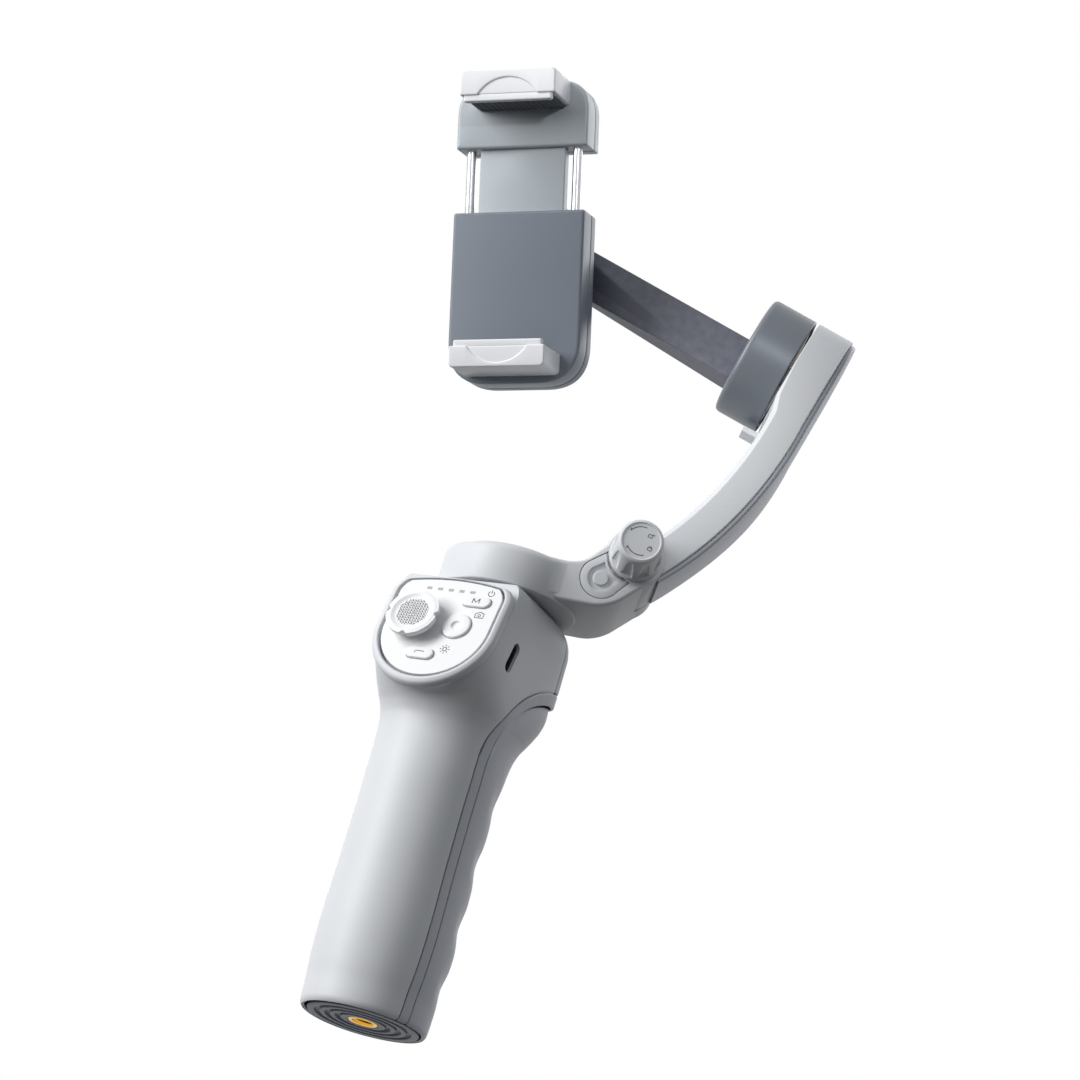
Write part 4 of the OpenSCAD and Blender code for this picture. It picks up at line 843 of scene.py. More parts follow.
marks = [on_panel(arc(0, 0, 0.95, 125, 415), POWER),
         on_panel([(0, 0.15), (0, 0.7), (0, 1.25)], POWER),
         on_panel(arc(0, 0, 0.62, 0, 345, 24), SUN, closed=True)]
for k in range(8):
    ray = polar(1, k * math.pi / 4)
    marks.append(on_panel([ray * 1.05, ray * 1.3, ray * 1.6], SUN))
body = rounded([(-1.35, -0.95), (1.35, -0.95), (1.35, 0.75), (0.6, 0.75), (0.4, 1.15),
                (-0.4, 1.15), (-0.6, 0.75), (-1.35, 0.75)], 0.25, 4)
marks.append(on_panel(body, CAMERA, closed=True))
marks.append(on_panel(arc(0, -0.1, 0.42, 0, 345, 20), CAMERA, 0.22, True))
piece("panel_marks", marks, PANEL, "handle", print_and_shade_grey)
print("panel marks", made["panel_marks"], "faces")

# %% [markdown]
# The buttons are low moulded caps. The two bars are slabs with rounded edges over their frame
# outlines, each on the flange that keeps it in the panel. The round one has a dimple for the
# thumb, turned on a lathe. The letter and the arc on the bars are strokes again, which ride
# on their own button.

# %% Buttons
TOP = 0.5
MODE, LIGHT, SHUTTER = (PANEL @ shift(x, y, 0) for x, y in ((9.3, 14.6), (-1.2, -5.9), (6.4, 5.2)))
key_levels = [(-3.35, -0.5), (-2.65, -0.5), (-2.65, 0.0)] + round_levels(-2.6, TOP, 0.01, 0.38, 6)
for key, length, where in (("mode", 9.2, MODE), ("light", 8.8, LIGHT)):
    cap = slab(even(bar_outline(length, 3.9), 120), key_levels)
    piece(key + "_key_cap", [cap], where, key + "_key", pale, [key + "_button"])
dish = soften([(0, -3.35), (5.0, -3.35), (5.0, -2.65), (4.5, -2.65), (4.5, TOP), (1.55, TOP),
               (1.2, TOP - 0.55), (0, TOP - 0.7)], [0, 0.1, 0.1, 0.05, 0.6, 0.35, 0.5, 0], 6)
piece("shutter_key_cap", [lathe(dish)], SHUTTER, "shutter_key", pale,
      ["shutter_button"])
ink = (TOP - 0.04, TOP + 0.03)
letter = [stroke(p, 0.3, *ink) for p in (
    [(-1.05, -0.85), (-1.05, 0.0), (-1.05, 0.85)],
    [(-1.05, 0.85), (-0.5, 0.1), (0.0, -0.55), (0.5, 0.1), (1.05, 0.85)],
    [(1.05, 0.85), (1.05, 0.0), (1.05, -0.85)])]
piece("mode_letter", letter, MODE, "mode_key", print_and_shade_grey)
bar = [(-1.45, -0.42), (-1.45, 0.15), (-1.25, 0.4), (-0.8, 0.42), (0.8, 0.42), (1.25, 0.4),
       (1.45, 0.2)]
piece("light_bar_mark", [stroke(bar, INK, *ink)], LIGHT, "light_key", print_and_shade_grey)
print("buttons", [k for k in made if k.startswith(("mode", "light", "shutter"))])

# %% [markdown]
# The stick's cap is one grid over a disc. Four notches in its rim are dips in the rim's
# radius. The small studs in its middle are worked into the heights: the top is high where two
# sine waves, along x and along y, are both near zero. A dark dot, painted shade of the pit,
# lies in the hollow between each four studs.

# %% Stick cap
STICK = PANEL @ shift(*STICK_AT, 0)
STICK_R, STICK_TOP = 8.1, 1.9 + 2.2
STUD_STEP, SHRINK = 0.92, 0.985
q = np.linspace(0, 2 * np.pi, 240, endpoint=False)
near = np.abs((np.degrees(q) + 45) % 90 - 45)
edge_r = STICK_R - 0.95 * np.clip(1 - (near / 7.5) ** 2, 0, 1)
x, y = np.moveaxis(polar(np.linspace(0.0, 1.0, 84)[:, None] * edge_r, q), -1, 0)
r = np.hypot(x, y)
top_h = (STICK_TOP - 0.5 + 0.5 * np.clip((r / STICK_R - 0.62) / 0.2, 0, 1) ** 1.5
         - 0.12 * np.clip((r - 7.2) / 0.9, 0, 1))
waves = np.maximum(np.abs(np.sin(np.pi * x / STUD_STEP)), np.abs(np.sin(np.pi * y / STUD_STEP)))
patch = np.clip((5.3 - r) / 0.25, 0, 1)
top_h = top_h + patch * (0.34 - 0.34 * np.clip(waves - 0.35, 0, 0.65) / 0.65)
side = [(-0.10, -0.08), (-0.02, -0.25), (0.0, -0.5), (0.0, -1.7), (0.12, -2.0), (0.5, -2.15),
        (4.6, -2.15), (5.8, -2.15), (5.8, -7.2)]
rings = [polar_grid((edge_r if d < 1 else STICK_R) - d, q, STICK_TOP + h) for d, h in side]
cap_top = np.stack([x * SHRINK, y * SHRINK, top_h], -1)
piece("stick_cap_skin", [skin(np.concatenate([cap_top, rings]))], STICK, "stick", pale,
      ["stick_cap"], crease=40)
# Dark discs low in the hollows between the studs: painted shade of the pits.
steps = (np.arange(-6, 6) + 0.5) * STUD_STEP
spots = np.stack(np.meshgrid(steps, steps), -1).reshape(-1, 2)
dots = []
for spot in spots[np.hypot(*spots.T) < 4.9]:
    dot = (circle_outline(0.25, 8) + spot) * SHRINK
    dots.append(skin(np.array([raised(dot, STICK_TOP + h) for h in (-0.62, -0.42)])))
piece("stick_pit_shade_dots", dots, STICK, "stick", print_and_shade_grey, crease=30)
print("stick cap", made["stick_cap_skin"], "faces and", len(dots), "dots")

# %% [markdown]
# In the foot sits a dark cap with ring grooves round the brass tripod insert. Both are lathe
# profiles. The insert's bore gets a quarter-inch thread: its radius waves along the axis and
# the wave shifts with the angle, which makes a true helix of one grid.

# %% Foot cap and tripod insert
cap_profile = [(4.45, 2.75), (4.45, 0.55), (4.8, 0.15), (6.1, 0.15)]
for centre in (7.6, 10.7, 13.8):
    cap_profile += [(centre - 0.85, 0.02), (centre - 0.7, 0.85), (centre + 0.7, 0.85),
                    (centre + 0.85, 0.02)]
cap_profile += [(15.6, 0.02), (16.8, 0.12), (16.8, 2.75)]
piece("foot_cap_rings", [lathe(soften(cap_profile, 0.25, 4), 128, hoop)], ROW, "handle",
      foot_dark, ["foot_cap"])

THREAD_R, THREAD_DEEP, THREAD_STEP = 3.2, 0.42, 1.27
q = np.linspace(0, 2 * np.pi, 72, endpoint=False)
depth = np.linspace(0, 1, 150)[:, None]
thread_z = 0.35 + depth * 8.5
wave = (0.5 + 0.5 * np.sin(2 * np.pi * thread_z / THREAD_STEP - q[None, :])) ** 1.4
thread_r = THREAD_R - THREAD_DEEP * wave * np.clip(depth * 12, 0, 1)
floor_rings = np.array([[0.0, 9.0], [THREAD_R, 9.0]])
shell_rings = np.array([[3.3, 0.12], [3.75, 0.0], [4.15, 0.0], [4.4, 0.25], [4.4, 9.8],
                        [4.1, 10.0], [0.0, 10.0]])
floor_rings, shell_rings = (polar_grid(p[:, :1], q, p[:, 1:]) for p in (floor_rings, shell_rings))
insert = np.concatenate([floor_rings, polar_grid(thread_r, q, thread_z)[::-1], shell_rings])
piece("tripod_insert_thread", [skin(insert)], ROW, "handle", brass, ["tripod_insert"])
print("foot", made["foot_cap_rings"], made["tripod_insert_thread"], "faces")

# %% [markdown]
# The pan arm is a low drum that narrows through a neck into the block of the fold hinge. The
# drum and the block are slabs: an outline carried through levels, which rounds their edges.
# The neck between them is a row of rounded sections, because its width follows a hollow
# quarter circle while its height stays. Three simple skins that overlap are easier to keep
# clean than one that changes its shape three times.

# %% Base of the pan arm
CROSS = np.radians(137.6)       # angle at which the drum and the block's round meet
drum = polar(20.7, np.linspace(-CROSS, CROSS, 150)) + (6.5, 0)
back_round = polar(15.9, np.linspace(CROSS, 2 * np.pi - CROSS, 50))
base_levels = [(133.9, 0.6), (134.05, 0.25), (134.5, 0.0)]
base_levels += [(143.8 + 3 * math.sin(a), 3 * (1 - math.cos(a)))
                for a in np.linspace(0, np.pi / 2, 9)]
LOW, RISE, TOP_Z, DROP = 135.3, 11.44, 146.8, 7.3
under = [(0.44 * HINGE_X, LOW - 1.1 + 0.018 * RISE), (0.836 * HINGE_X, LOW - 1.1 + 0.157 * RISE),
         (0.96 * HINGE_X, LOW - 0.7 + 0.35 * RISE)]
over_top = [(0.708 * HINGE_X, TOP_Z + 0.767 * DROP), (0.641 * HINGE_X, TOP_Z + 0.3 * DROP),
            (0.538 * HINGE_X, TOP_Z + 0.068 * DROP)]


def neck_sections():
    """Rounded rectangles along x: half-width w = 27 - sqrt(10^2 - (x - 21.11)^2) in the neck,
    heights from the block's outline, corner radius from the drum's 3 mm to the block's 1 mm."""
    neck_end = 21.11
    x = np.concatenate([[10.0], np.linspace(16.35, neck_end, 22), [22.5]])
    w = 27 - np.sqrt(np.maximum(100 - (np.minimum(x, neck_end) - neck_end) ** 2, 0))
    w = np.where(x < 16.3, 19.0, w) - 0.05 * np.clip((x - 19.3) / 1.8, 0, 1)
    top = np.interp(x, [6.5, 20.98, 25.0], [146.5, 147.3, 148.99])
    low = np.interp(x, [0, 17.16, 32.6], [LOW, LOW + 0.206, LOW + 1.796])
    share = np.clip((x - 15) / 6.5, 0, 1)
    r_top, r_low = 3 - 2 * share, 0.6 + 0.4 * share
    corners = []
    for start, (side, up, r, z) in enumerate(((1, 1, r_top, top), (-1, 1, r_top, top),
                                              (-1, -1, r_low, low), (1, -1, r_low, low))):
        arch = polar(r[:, None], np.linspace(0, np.pi / 2, 7) + start * np.pi / 2)
        corners.append(np.stack([side * (w - r), z - up * r], -1)[:, None] + arch)
    yz = np.concatenate(corners, 1)
    return np.concatenate([x[:, None, None] * np.ones_like(yz[..., :1]), yz], -1)


piece("pan_arm_base_skin", [slab(np.concatenate([drum, back_round[1:-1]]), base_levels),
                            skin(neck_sections())],
      ARM, "pan_arm", silver, ["pan_arm_body"])
print("pan arm base", made["pan_arm_base_skin"], "faces")

# %% [markdown]
# The hinge block carries the fold hinge between two cheeks. Its side outline is drawn once,
# with soft corners, and carried through the block's depth. The fork's slot and the pocket for
# the inlay are cut out of it as milled steps would be.

# %% Hinge block
lower_curve = soften([(2.0, 141.0), (2.0, LOW), *under, (44.7, 146.74)], [0, 0, 6, 3, 3, 0], 7)
upper_curve = soften([(30.0, 155.83), *over_top, (6.5, 146.2), (2.0, 146.2), (2.0, 141.0)],
                     [0, 2.4, 3, 4, 4, 0, 0], 7)
nose = polar(9.2, np.radians(np.linspace(-52.2, 169.6, 60))) + (HINGE_X, HINGE_Z)
block = np.concatenate([lower_curve[:-1], nose, upper_curve[1:-1]]) - (HINGE_X, HINGE_Z)
slot = np.concatenate([[(36.8, -6.62), (36.8, 18.4), (-6.62, 18.4)],
                       polar(9.55, np.radians(np.linspace(133.9, 316.1, 40)))])
BOSS_X, BOSS_Y = -8.2, -9.5     # the inlay's boss, seen from the knob
BOSS_WAY = math.hypot(BOSS_Y, BOSS_X)
INLAY = HINGE @ shift(BOSS_X, BOSS_Y, 0) @ turn("Z", math.degrees(math.atan2(-BOSS_Y, -BOSS_X)))


def drop_outline(r, hw, around):
    """Round end of radius r about the boss, two sides that close in to hw, and a hollow arc of
    radius `around` about the knob; anticlockwise."""
    half = math.asin(hw / around)
    hollow = polar(around, np.linspace(-half, half, 24)) * (-1, 1) + (BOSS_WAY, 0)
    return np.concatenate([polar(r, np.linspace(np.pi / 2, 3 * np.pi / 2, 40)), hollow])


block_cores = [prism(slot, -8.15, 15.15, HINGE),
               prism(even(drop_outline(6.5, 5.8, 8.25), 180), 16.15, 19, INLAY)]
piece("hinge_block_skin", [slab(even(block, 300), round_levels(-17, 17, 1.0, 1.0, 6))], HINGE,
      "pan_arm", silver, crease=28, cut=block_cores)
print("hinge block", made["hinge_block_skin"], "faces")

# %% [markdown]
# On the block's front lies an inlay plate, a drop that ends in a hollow round the knob. It has
# a shallow pocket with a small round boss in it. The plate is a slab with a soft upper edge,
# and the boss is a lathe profile that stands on the pocket's floor.

# %% Inlay and boss
inlay_levels = [(16.2, 0.0), (16.75, 0.0), (16.93, 0.06), (17.0, 0.22)]
piece("hinge_inlay_skin", [slab(even(drop_outline(6.22, 5.52, 8.5), 220), inlay_levels)], INLAY,
      "pan_arm", silver, ["hinge_inlay"],
      cut=[prism(even(drop_outline(4.1, 3.6, 9.4), 160), 16.4, 19, INLAY)])
boss = soften([(0, 16.3), (2.35, 16.3), (2.2, 17.1), (1.75, 17.1), (0, 17.1)],
              [0, 0, 0.3, 0.2, 0], 6)
piece("hinge_boss_skin", [lathe(boss, 64)], INLAY, "pan_arm", silver,
      ["hinge_boss"])
print("inlay", made["hinge_inlay_skin"], "boss", made["hinge_boss_skin"])

# %% [markdown]
# The lock knob is a tapered cap with scooped grips and a flat top. A lathe would do for the
# cap, but the scoops need their own depth at each angle and height, so it is one grid: the
# radius is the profile's, less a scoop that is deep at its foot and runs out above. On the
# top lie two turning arcs and two small padlocks, an open one and a shut one.

# %% Lock knob
KNOB = HINGE @ shift(0, 0, 17.15)
FLUTES, KNOB_TOP, FLUTE_END = 9, 14.3, 12.4
profile = soften([(7.3, 0.0), (8.0, 0.25), (8.0, 1.5), (7.55, 2.3), (6.95, 12.2), (6.85, 14.1),
                  (6.1, 14.6), (5.75, 14.6), (5.65, 14.32), (5.0, KNOB_TOP)],
                 [0, 0.3, 0.3, 0.4, 2, 0.9, 0.5, 0.1, 0.1, 0], 7)
dense = [profile[0]]
for p, n in zip(profile[:-1], profile[1:]):
    steps = max(1, int(np.linalg.norm(n - p) / 0.35))
    dense += [p + (n - p) * k / steps for k in range(1, steps + 1)]
r, h = np.array(dense)[:, :1], np.array(dense)[:, 1:]
q = np.linspace(0, 2 * np.pi, 288, endpoint=False)
near = np.abs(np.degrees(q) % (360 / FLUTES) - 180 / FLUTES)[None, :]
tall = np.clip((FLUTE_END - h) / 9.8, 0, 1)
wide = 3.0 + 10.5 * tall ** 0.45
scoop = np.sqrt(np.clip(1 - (near / wide) ** 2, 0, 1)) * (0.25 + 0.75 * tall) * 0.95
scoop = scoop * np.clip((h - 2.25) / 0.12, 0, 1) * np.clip((FLUTE_END - h) / 0.9, 0, 1)
bottom, centre = np.zeros((1, 288, 3)), np.full((1, 288, 3), (0, 0, KNOB_TOP))
piece("lock_knob_skin", [skin(np.concatenate([bottom, polar_grid(r - scoop, q, h), centre]))],
      KNOB, "knob", silver, ["lock_knob"], crease=32)
ink = (KNOB_TOP - 0.03, KNOB_TOP + 0.03)


def padlock(cx, cy, spin, shut):
    """Outline of a small padlock: a square body and a shackle that is closed or swung open."""
    c, s = math.cos(math.radians(spin)), math.sin(math.radians(spin))
    body = even(np.array([(-0.62, -0.75), (0.62, -0.75), (0.62, 0.15), (-0.62, 0.15)]), 20)
    loop = arc(0, 0.15, 0.42, 0, 180, 14) if shut else arc(0.74, 0.15, 0.42, 20, 180, 14)
    return [stroke(points @ np.array([(c, s), (-s, c)]) + (cx, cy), 0.24, *ink, closed)
            for points, closed in ((body, True), (loop, False))]


knob_marks = [stroke(arc(0, 0, *bend), 0.3, *ink) for bend in ((4.5, 82, 148), (4.4, 214, 292))]
for angle, r, back in ((148, 4.5, -1), (214, 4.4, 1)):
    out_way = polar(1, math.radians(angle))
    tip, way = r * out_way, np.array([-out_way[1], out_way[0]]) * back
    head = [tip + way * 0.65 + out_way * 0.5, tip + way * 0.3 + out_way * 0.25, tip]
    knob_marks.append(stroke(head, INK, *ink))
knob_marks += padlock(2.28, 2.55, -15, False) + padlock(3.0, -1.45, -15, True)
piece("knob_marks", knob_marks, KNOB, "knob", print_and_shade_grey)
print("knob", made["lock_knob_skin"], "faces with", FLUTES, "scoops")

# %% [markdown]
# The folding arm is a bent bar that widens from the fork to the tilt motor. It is a loft: a
# section with a flat bevel on its inner edge is carried along the bend, and its width follows
# a smooth step. Past the bend the same section runs straight on beside the motor, where the
# bevel fades out, so that arm and motor housing read as one body. A second, thinner loft is
# the darker strip along the arm's outer side, which runs on round the motor's end.

# %% Folding arm
def step(v):
    """Soft step: 3 v^2 - 2 v^3 between 0 and 1."""
    v = np.clip(v, 0, 1)
    return v * v * (3 - 2 * v)


def arm_section(depth, front, rear, bevel, edge):
    """Loop in (depth, y): flat bevels at the inner side, small rounds at the outer side."""
    corners = [(0, front + bevel), (bevel, front), (depth - edge, front), (depth, front + edge),
               (depth, rear - edge), (depth - edge, rear), (bevel, rear), (0, rear - bevel)]
    return rounded(corners, [0.22, 0.22, 0.12, 0.12, 0.12, 0.12, 0.22, 0.22], 4)


def arm_stations(start, inner, outer, side, bevels, edge, tilt_in, tilt_out, ends):
    """Sections along the bend from the angle `start` to its end, then straight beside the
    motor at the distances `ends` above the tilt axis; `side` narrows each section."""
    rings = []
    for a in np.linspace(start, BEND_END, 64):
        share = step((a + 39.05) / (-14.7 + 39.05))
        front, rear = -15 - 4.4 * share + side, 8 + 11.4 * share - side
        loop = arm_section(outer - inner, front, rear, bevels, edge)
        r = BEND_R + inner + loop[:, 0]
        c, s = math.cos(math.radians(a)), math.sin(math.radians(a))
        rings.append(np.stack([ARM_CX + r * c, loop[:, 1], ARM_CZ + r * s], 1))
    for up in ends:
        fade = max(0.15, -up / TILT_R)
        half = math.sqrt((TILT_R - side) ** 2 - max(up, 0.0) ** 2)
        loop = arm_section(tilt_in - tilt_out, -half, half, max(bevels * fade, 0.12), edge)
        z = tilt_in - loop[:, 0]
        rings.append(np.stack([TILT_X + up * math.sin(LEAN) - z * math.cos(LEAN), loop[:, 1],
                               TILT_Z + up * math.cos(LEAN) + z * math.sin(LEAN)], 1))
    return skin(np.array(rings))


def in_row(one_skin, where):
    """A skin moved into the row frame, to join skins drawn in different frames."""
    return put(one_skin[0], where), one_skin[1]


ends = [share * TILT_R for share in (-0.72, -0.5, -0.3, -0.12, 0.0)]
main_bar = arm_stations(-43.5, -6.0, 4.45, 0.0, 1.4, 0.3, -0.5, -12.25, ends)
barrel = slab(circle_outline(9.2), round_levels(-8, 15, 0.7, 0.7, 5))
tab_outline = rounded([(-23.9, -3.2), (-22.0, -3.2), (-22.0, 3.2), (-23.9, 3.2)], 0.35, 5)
tab = slab(even(tab_outline, 64), round_levels(-7.8, 3.9, 0.1, 0.3, 4))
piece("fold_arm_skin", [in_row(main_bar, ARM), in_row(barrel, HINGE), in_row(tab, TILT)], ROW,
      "folding_arm", silver, ["fold_arm"], crease=28)
round_end = [(TILT_R - 1.0) * math.sin(math.radians(a)) for a in range(7, 85, 7)]
strip_bar = arm_stations(-42.9, 4.52, 6.0, 1.0, 0.05, 0.5, -12.32, -TILT_OUT, ends + round_end)
piece("arm_strip_skin", [strip_bar], ARM, "folding_arm", strip_grey,
      ["fold_strip"], crease=28)
print("arm", made["fold_arm_skin"], "faces, strip", made["arm_strip_skin"])

# %% [markdown]
# The tilt motor is a drum in two halves with a running gap between them. The outer half is
# painted with the arm and the inner one is anodised. Both are lathe profiles. The inner half
# has a small round at its far end and a broad, flat end face, which carries the roll plate.

# %% Tilt motor
outer_half = soften([(0, -12.25), (19.3, -12.25), (TILT_R, -12.1), (TILT_R, -0.72),
                     (19.2, -0.52), (17.6, -0.52), (17.4, -2.5), (0, -2.5)],
                    [0, 0.1, 0.1, 0.12, 0.12, 0.1, 0.1, 0], 4)
inner_half = soften([(0, 1.6), (17.2, 1.6), (17.4, 0.52), (19.2, 0.52), (TILT_R, 0.75),
                     (TILT_R, 13.7), (19.0, 14.75), (17.8, 15.2), (9.0, 15.2), (0, 15.2)],
                    [0, 0.2, 0.1, 0.12, 0.2, 1.0, 0.8, 0.8, 0, 0], 6)
piece("tilt_outer_skin", [lathe(outer_half, 192)], TILT, "folding_arm", silver,
      ["tilt_housing"])
piece("tilt_inner_skin", [lathe(inner_half, 192)], TILT, "tilt_arm", motor,
      ["tilt_drum"])
print("tilt motor", made["tilt_outer_skin"], made["tilt_inner_skin"])

# %% [markdown]
# The clamp has a fixed lower half with the roll motor behind it, an upper half that slides on
# two rods, and two pale jaws. Each is a slab drawn in the clamp's own frame, where x runs
# across, y runs back and z up. Slabs grow along z, so one turned frame lays them on their
# backs, and their edges are rounded by the levels.

# %% Clamp
FACE_ON = CLAMP @ turn("X", 90)      # z of this frame runs forward, y stays up
CLAMP_W, BODY_END, SHUT, UPPER = 43, 48.2, 6.6, 27.0


def clamp_half(near, way):
    """Front shell from y = 2.1 to 10.1, a groove, and the back cover to 15.7. Seen from the
    front, the outline has two wide corners at its far end, and runs down if `way` is 1 and up
    if it is -1."""
    hw, wide, small = CLAMP_W / 2, 13.5, 0.6
    corners = [(-hw, near), (-hw, -BODY_END), (hw, -BODY_END), (hw, near)]
    outline = even(rounded(corners, [small, wide, wide, small], 14), 240) * way
    return (slab(outline, round_levels(-10.1, -2.1, 0.25, 1.0, 6)),
            slab(outline, [(-10.7, 1.0), (-10.0, 1.0)]),
            slab(outline, round_levels(-15.7, -10.6, 1.6, 0.25, 6)))


front, *cover = clamp_half(SHUT, 1)
tongue_room = np.array([(-14.15, -44.2), (14.15, -44.2), (14.15, 12), (-14.15, 12)], float)
rod_room = [prism(circle_outline(1.55, 32) + (x, 0), -38.2, 12, CLAMP @ shift(0, 6.1, 0))
            for x in (-17.5, 17.5)]
# The lower half and its cover take the clamp grey darkened as painted shade.
piece("clamp_front_skin", [front], FACE_ON, "clamp", clamp_shade_grey, ["clamp_body"],
      crease=30, cut=[prism(tongue_room, -8.25, -3.95, FACE_ON), *rod_room])
piece("clamp_cover_skin", cover, FACE_ON, "clamp", clamp_shade_grey, ["clamp_back"],
      crease=30)
tongue = rounded([(-14, -23.2), (14, -23.2), (14, 27.5), (-14, 27.5)], 1.0, 4)
tongue = slab(even(tongue, 160), round_levels(-8.1, -4.1, 0.4, 0.4, 4))
# The upper half takes the same grey made lighter, as painted light from above.
piece("upper_clamp_skin", [*clamp_half(-UPPER, -1), tongue], FACE_ON, "clamp_slide", clamp_lit_grey,
      ["upper_body"], crease=30)
print("clamp halves", [made[k] for k in made if "clamp" in k])

# %% [markdown]
# A jaw is a pale block with soft edges. On its front is a shallow half-moon for the thumb. It
# is the gap that a thin second slab leaves, whose outline runs round the moon, so nothing has
# to be cut. A lip past the jaw's edge holds what is clamped. The upper jaw is the lower one
# turned by half a turn.

# %% Jaws
JAW_W, JAW_D, MOON_R, MOON_UP = 31.0, 16.3, 11.5, 6.2
JAW_BACK = 2.1
FRONT = JAW_D - JAW_BACK
JAW_TOP = {"lower": 39.2, "upper": 40.0}


def jaw_outlines(top, tall):
    """The block's rounded rectangle, the same less the half-moon (a circle of MOON_R mm whose
    centre lies MOON_UP mm past the jaw's edge), and the lip's rectangle."""
    half, low, small, wide = JAW_W / 2, -top - tall, 0.5, 1.6
    corners = [(-half, -top), (-half, low), (half, low), (half, -top)]
    whole = even(rounded(corners, [small, wide, wide, small], 8), 200)
    x = half * np.sin(np.linspace(-np.pi / 2, np.pi / 2, 161))
    past = np.abs(x) - half
    foot = low + wide - np.sqrt(wide ** 2 - np.clip(past + wide, 0, wide) ** 2)
    head = -top - small + np.sqrt(small ** 2 - np.clip(past + small, 0, small) ** 2)
    moon = -top + MOON_UP - np.sqrt(MOON_R ** 2 - np.minimum(np.abs(x), 11) ** 2)
    head = np.where(np.abs(x) < 9.69, np.minimum(head, moon), head)
    notched = np.concatenate([np.stack([x, foot], 1), np.stack([x, head], 1)[::-1]])
    corners = [(-14.3, 2.0 - top), (-14.3, -top - 0.4), (14.3, -top - 0.4), (14.3, 2.0 - top)]
    return whole, notched, even(rounded(corners, [0.5, 0.2, 0.2, 0.5], 6), 160)


for jaw, way, body, tall in (("lower", 1, "clamp", 6.7), ("upper", -1, "clamp_slide", 8.0)):
    whole, notched, lip = (outline * way for outline in jaw_outlines(JAW_TOP[jaw], tall))
    piece(jaw + "_jaw_skin", [slab(whole, round_levels(-JAW_BACK, FRONT - 0.45, 0.2, 0.6, 6)),
                              slab(notched, round_levels(FRONT - 1.3, FRONT, 0.1, 0.5, 6), True),
                              slab(lip, round_levels(FRONT - 2.6, FRONT - 0.6, 0.2, 0.5, 5))],
          FACE_ON, body, jaw_white, [jaw + "_jaw"], crease=30)
print("jaws", made["lower_jaw_skin"], made["upper_jaw_skin"])

# %% [markdown]
# Two rubber pads line the jaws. Their gripping side has shallow ribs, which are a wave in the
# height of a grid: the pad's top sinks between the ribs, and its border stays level.

# %% Pads
PAD_HW, RIB_DEEP = 13.5, 0.3
y = np.linspace(JAW_BACK - JAW_D + 2.6 + 0.2, JAW_BACK - 0.2, 40)
gx, gy = np.meshgrid(np.linspace(-PAD_HW, PAD_HW, 220), y)
rim = np.minimum.reduce([gx + PAD_HW, PAD_HW - gx, gy - y[0], y[-1] - gy])
rim = np.clip(rim / 0.5, 0, 1)
rib = 0.5 + 0.5 * np.cos(2 * np.pi * gx / 1.8)
for jaw, flip, body in (("lower", (1, 1, 1), "clamp"), ("upper", (-1, 1, -1), "clamp_slide")):
    top = -JAW_TOP[jaw] + 0.98 - RIB_DEEP * rim * (1 - rib)
    pad = sheet(np.stack([gx, gy, top], -1) * flip, 0.6, 0.15, 3)
    piece(jaw + "_pad_skin", [pad], CLAMP, body, rubber, [jaw + "_pad"], crease=40)
print("pads", made["lower_pad_skin"], made["upper_pad_skin"])

# %% [markdown]
# The photograph looks up at the part from its lower right. The camera was found from the
# handle's circles and parallel edges: a long lens, so that the part hardly narrows with
# distance. Two of its directions are written out. Cross products give the third and make all
# three square, and they fill one matrix.

# %% Camera
camera_data = bpy.data.cameras.new("camera")
camera_data.lens, camera_data.sensor_width = 120, 36
camera_data.clip_start, camera_data.clip_end = 0.05, 20
camera = add("camera", camera_data)
right, up = np.array([0.8920, 0.3678, 0.2627]), np.array([-0.0944, -0.4167, 0.9041])
back = np.cross(right, up)
stand = np.eye(4)
for column, direction in enumerate((right, np.cross(back, right), back)):
    stand[:3, column] = direction / np.linalg.norm(direction)
stand[:3, 3] = np.array([490.4, -900.4, -210.1]) * MM
camera.matrix_world = Matrix(stand.tolist())
bpy.context.scene.camera = camera
print("camera at", [round(v, 3) for v in camera.matrix_world.translation], "m")

# %% [markdown]
# The light is a plain studio's: a large soft panel at the front left, a weaker one behind and
# above, two narrow fills on the arm and the clamp, and a pale sky that is darker from below,
# which keeps the undersides in shade. The background is white only to the camera and in
# reflections, so no extra light reaches the part. The floor is seen from above alone, because
# the camera looks up from under its level.

# %% Light, background and floor
def soft_panel(name, at, aim, size, watts):
    """Area lamp of a given width and height that faces a point; lengths in mm."""
    data = bpy.data.lights.new(name, "AREA")
    data.shape, data.energy = "RECTANGLE", watts
    data.size, data.size_y = size[0] * MM, size[1] * MM
    start, end = np.array(at, float) * MM, np.array(aim, float) * MM
    z = (start - end) / np.linalg.norm(start - end)
    x = np.cross((0, 0, 1.0), z)
    x = x / np.linalg.norm(x)
    turned = np.eye(4)
    turned[:3] = np.stack([x, np.cross(z, x), z, start], 1)
    add(name, data).matrix_world = Matrix(turned.tolist())
    return data


soft_panel("front_left_panel", (-700, -760, 420), (10, 0, 150), (420, 900), 13.2)
soft_panel("high_back_panel", (250, 700, 800), (20, 0, 180), (700, 500), 2.3)
for name, aim, watts in (("arm_fill", (52, 22, 195), 0.006),
                         ("clamp_fill", (-21, -11, 312), 0.0055)):
    soft_panel(name, (430, -700, 330), aim, (60, 60), watts).spread = math.radians(9)

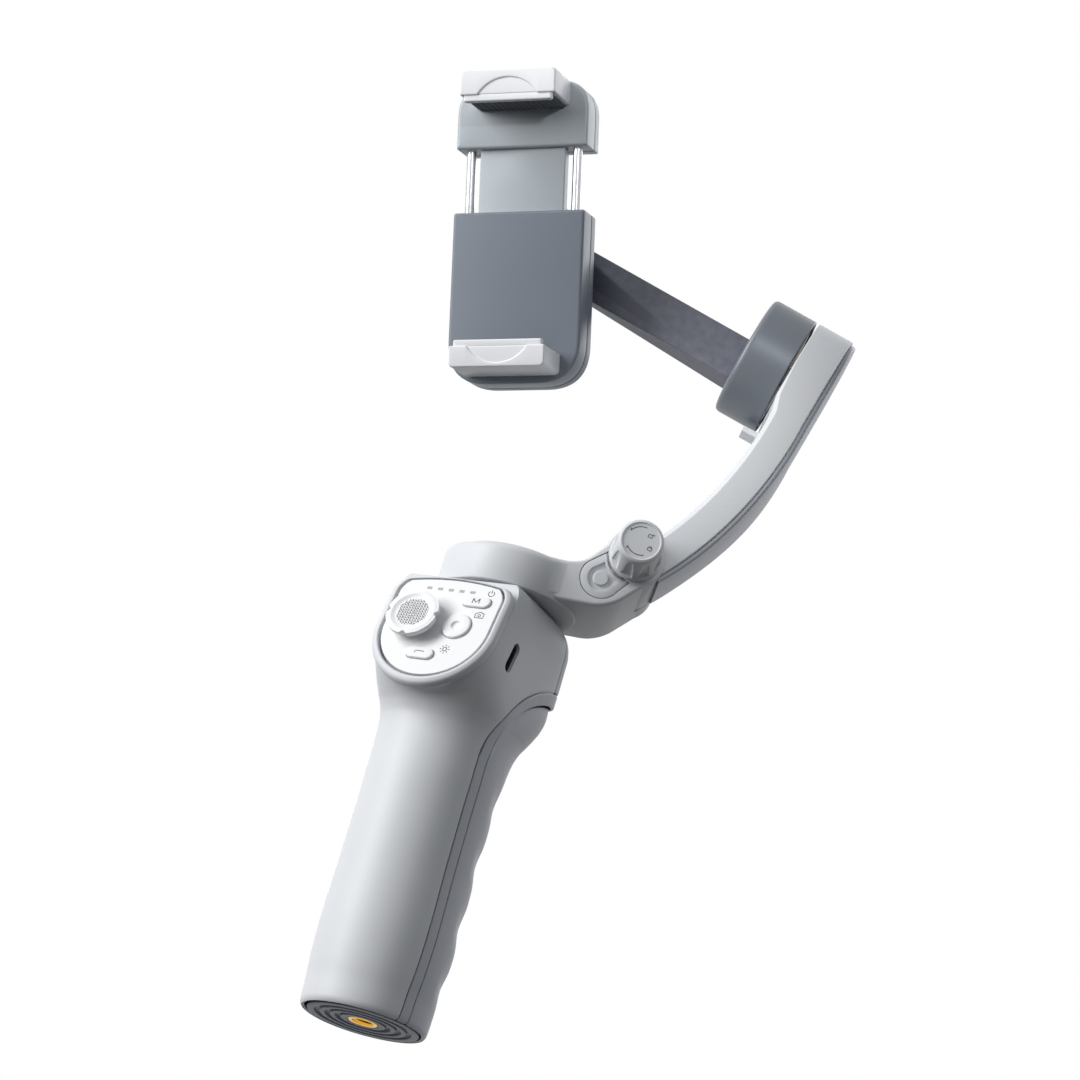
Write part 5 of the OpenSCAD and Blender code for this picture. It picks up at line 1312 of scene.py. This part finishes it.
world = bpy.data.worlds.new("studio")
bpy.context.scene.world = world
world.use_nodes = True
tree = world.node_tree
tree.nodes.clear()
plain = node(tree, "Background", {"Color": (1, 1, 1, 1), "Strength": 1.0})
way = node(tree, "SeparateXYZ", {0: node(tree, "TexCoord").outputs["Generated"]})
rise = node(tree, "MapRange", {"Value": way.outputs["Z"], "From Min": -0.4, "From Max": 0.5,
                               "To Min": 0.03, "To Max": 0.46}, interpolation_type="SMOOTHSTEP")
sky = node(tree, "Background", {"Color": (0.93, 0.96, 1.0, 1), "Strength": rise.outputs["Result"]})
ray = node(tree, "LightPath").outputs
seen = maths(tree, "MAXIMUM", ray["Is Camera Ray"], ray["Is Transmission Ray"])
seen = maths(tree, "MAXIMUM", seen, ray["Is Glossy Ray"])
choose = node(tree, "MixShader", {0: seen, 1: sky.outputs[0], 2: plain.outputs[0]})
node(tree, "OutputWorld", {"Surface": choose.outputs[0]})

floor_mesh = bpy.data.meshes.new("floor")
half, sunk = 2.5, -0.0005       # m
floor_mesh.from_pydata([(-half, -half, sunk), (half, -half, sunk), (half, half, sunk),
                        (-half, half, sunk)], [], [(0, 1, 2, 3)])
floor = add("floor", floor_mesh)
floor_mat = bpy.data.materials.new("pale_floor")
floor_mat.use_nodes = True
tree = floor_mat.node_tree
tree.nodes.clear()
paper = node(tree, "BsdfDiffuse", {"Color": (0.86, 0.86, 0.86, 1)}).outputs[0]
clear = node(tree, "BsdfTransparent").outputs[0]
below = node(tree, "NewGeometry").outputs["Backfacing"]
choose = node(tree, "MixShader", {0: below, 1: paper, 2: clear})
node(tree, "OutputMaterial", {"Surface": choose.outputs[0]})
floor_mesh.materials.append(floor_mat)
floor.visible_shadow = floor.visible_diffuse = False
floor.visible_glossy = floor.visible_transmission = False

bpy.context.scene.view_settings.view_transform = "Standard"
print(len(bpy.data.lights), "lamps")

# %% [markdown]
# At the end the pieces that were made and their faces are counted.

# %% Count the pieces
print(len(made), "pieces,", sum(made.values()), "faces")
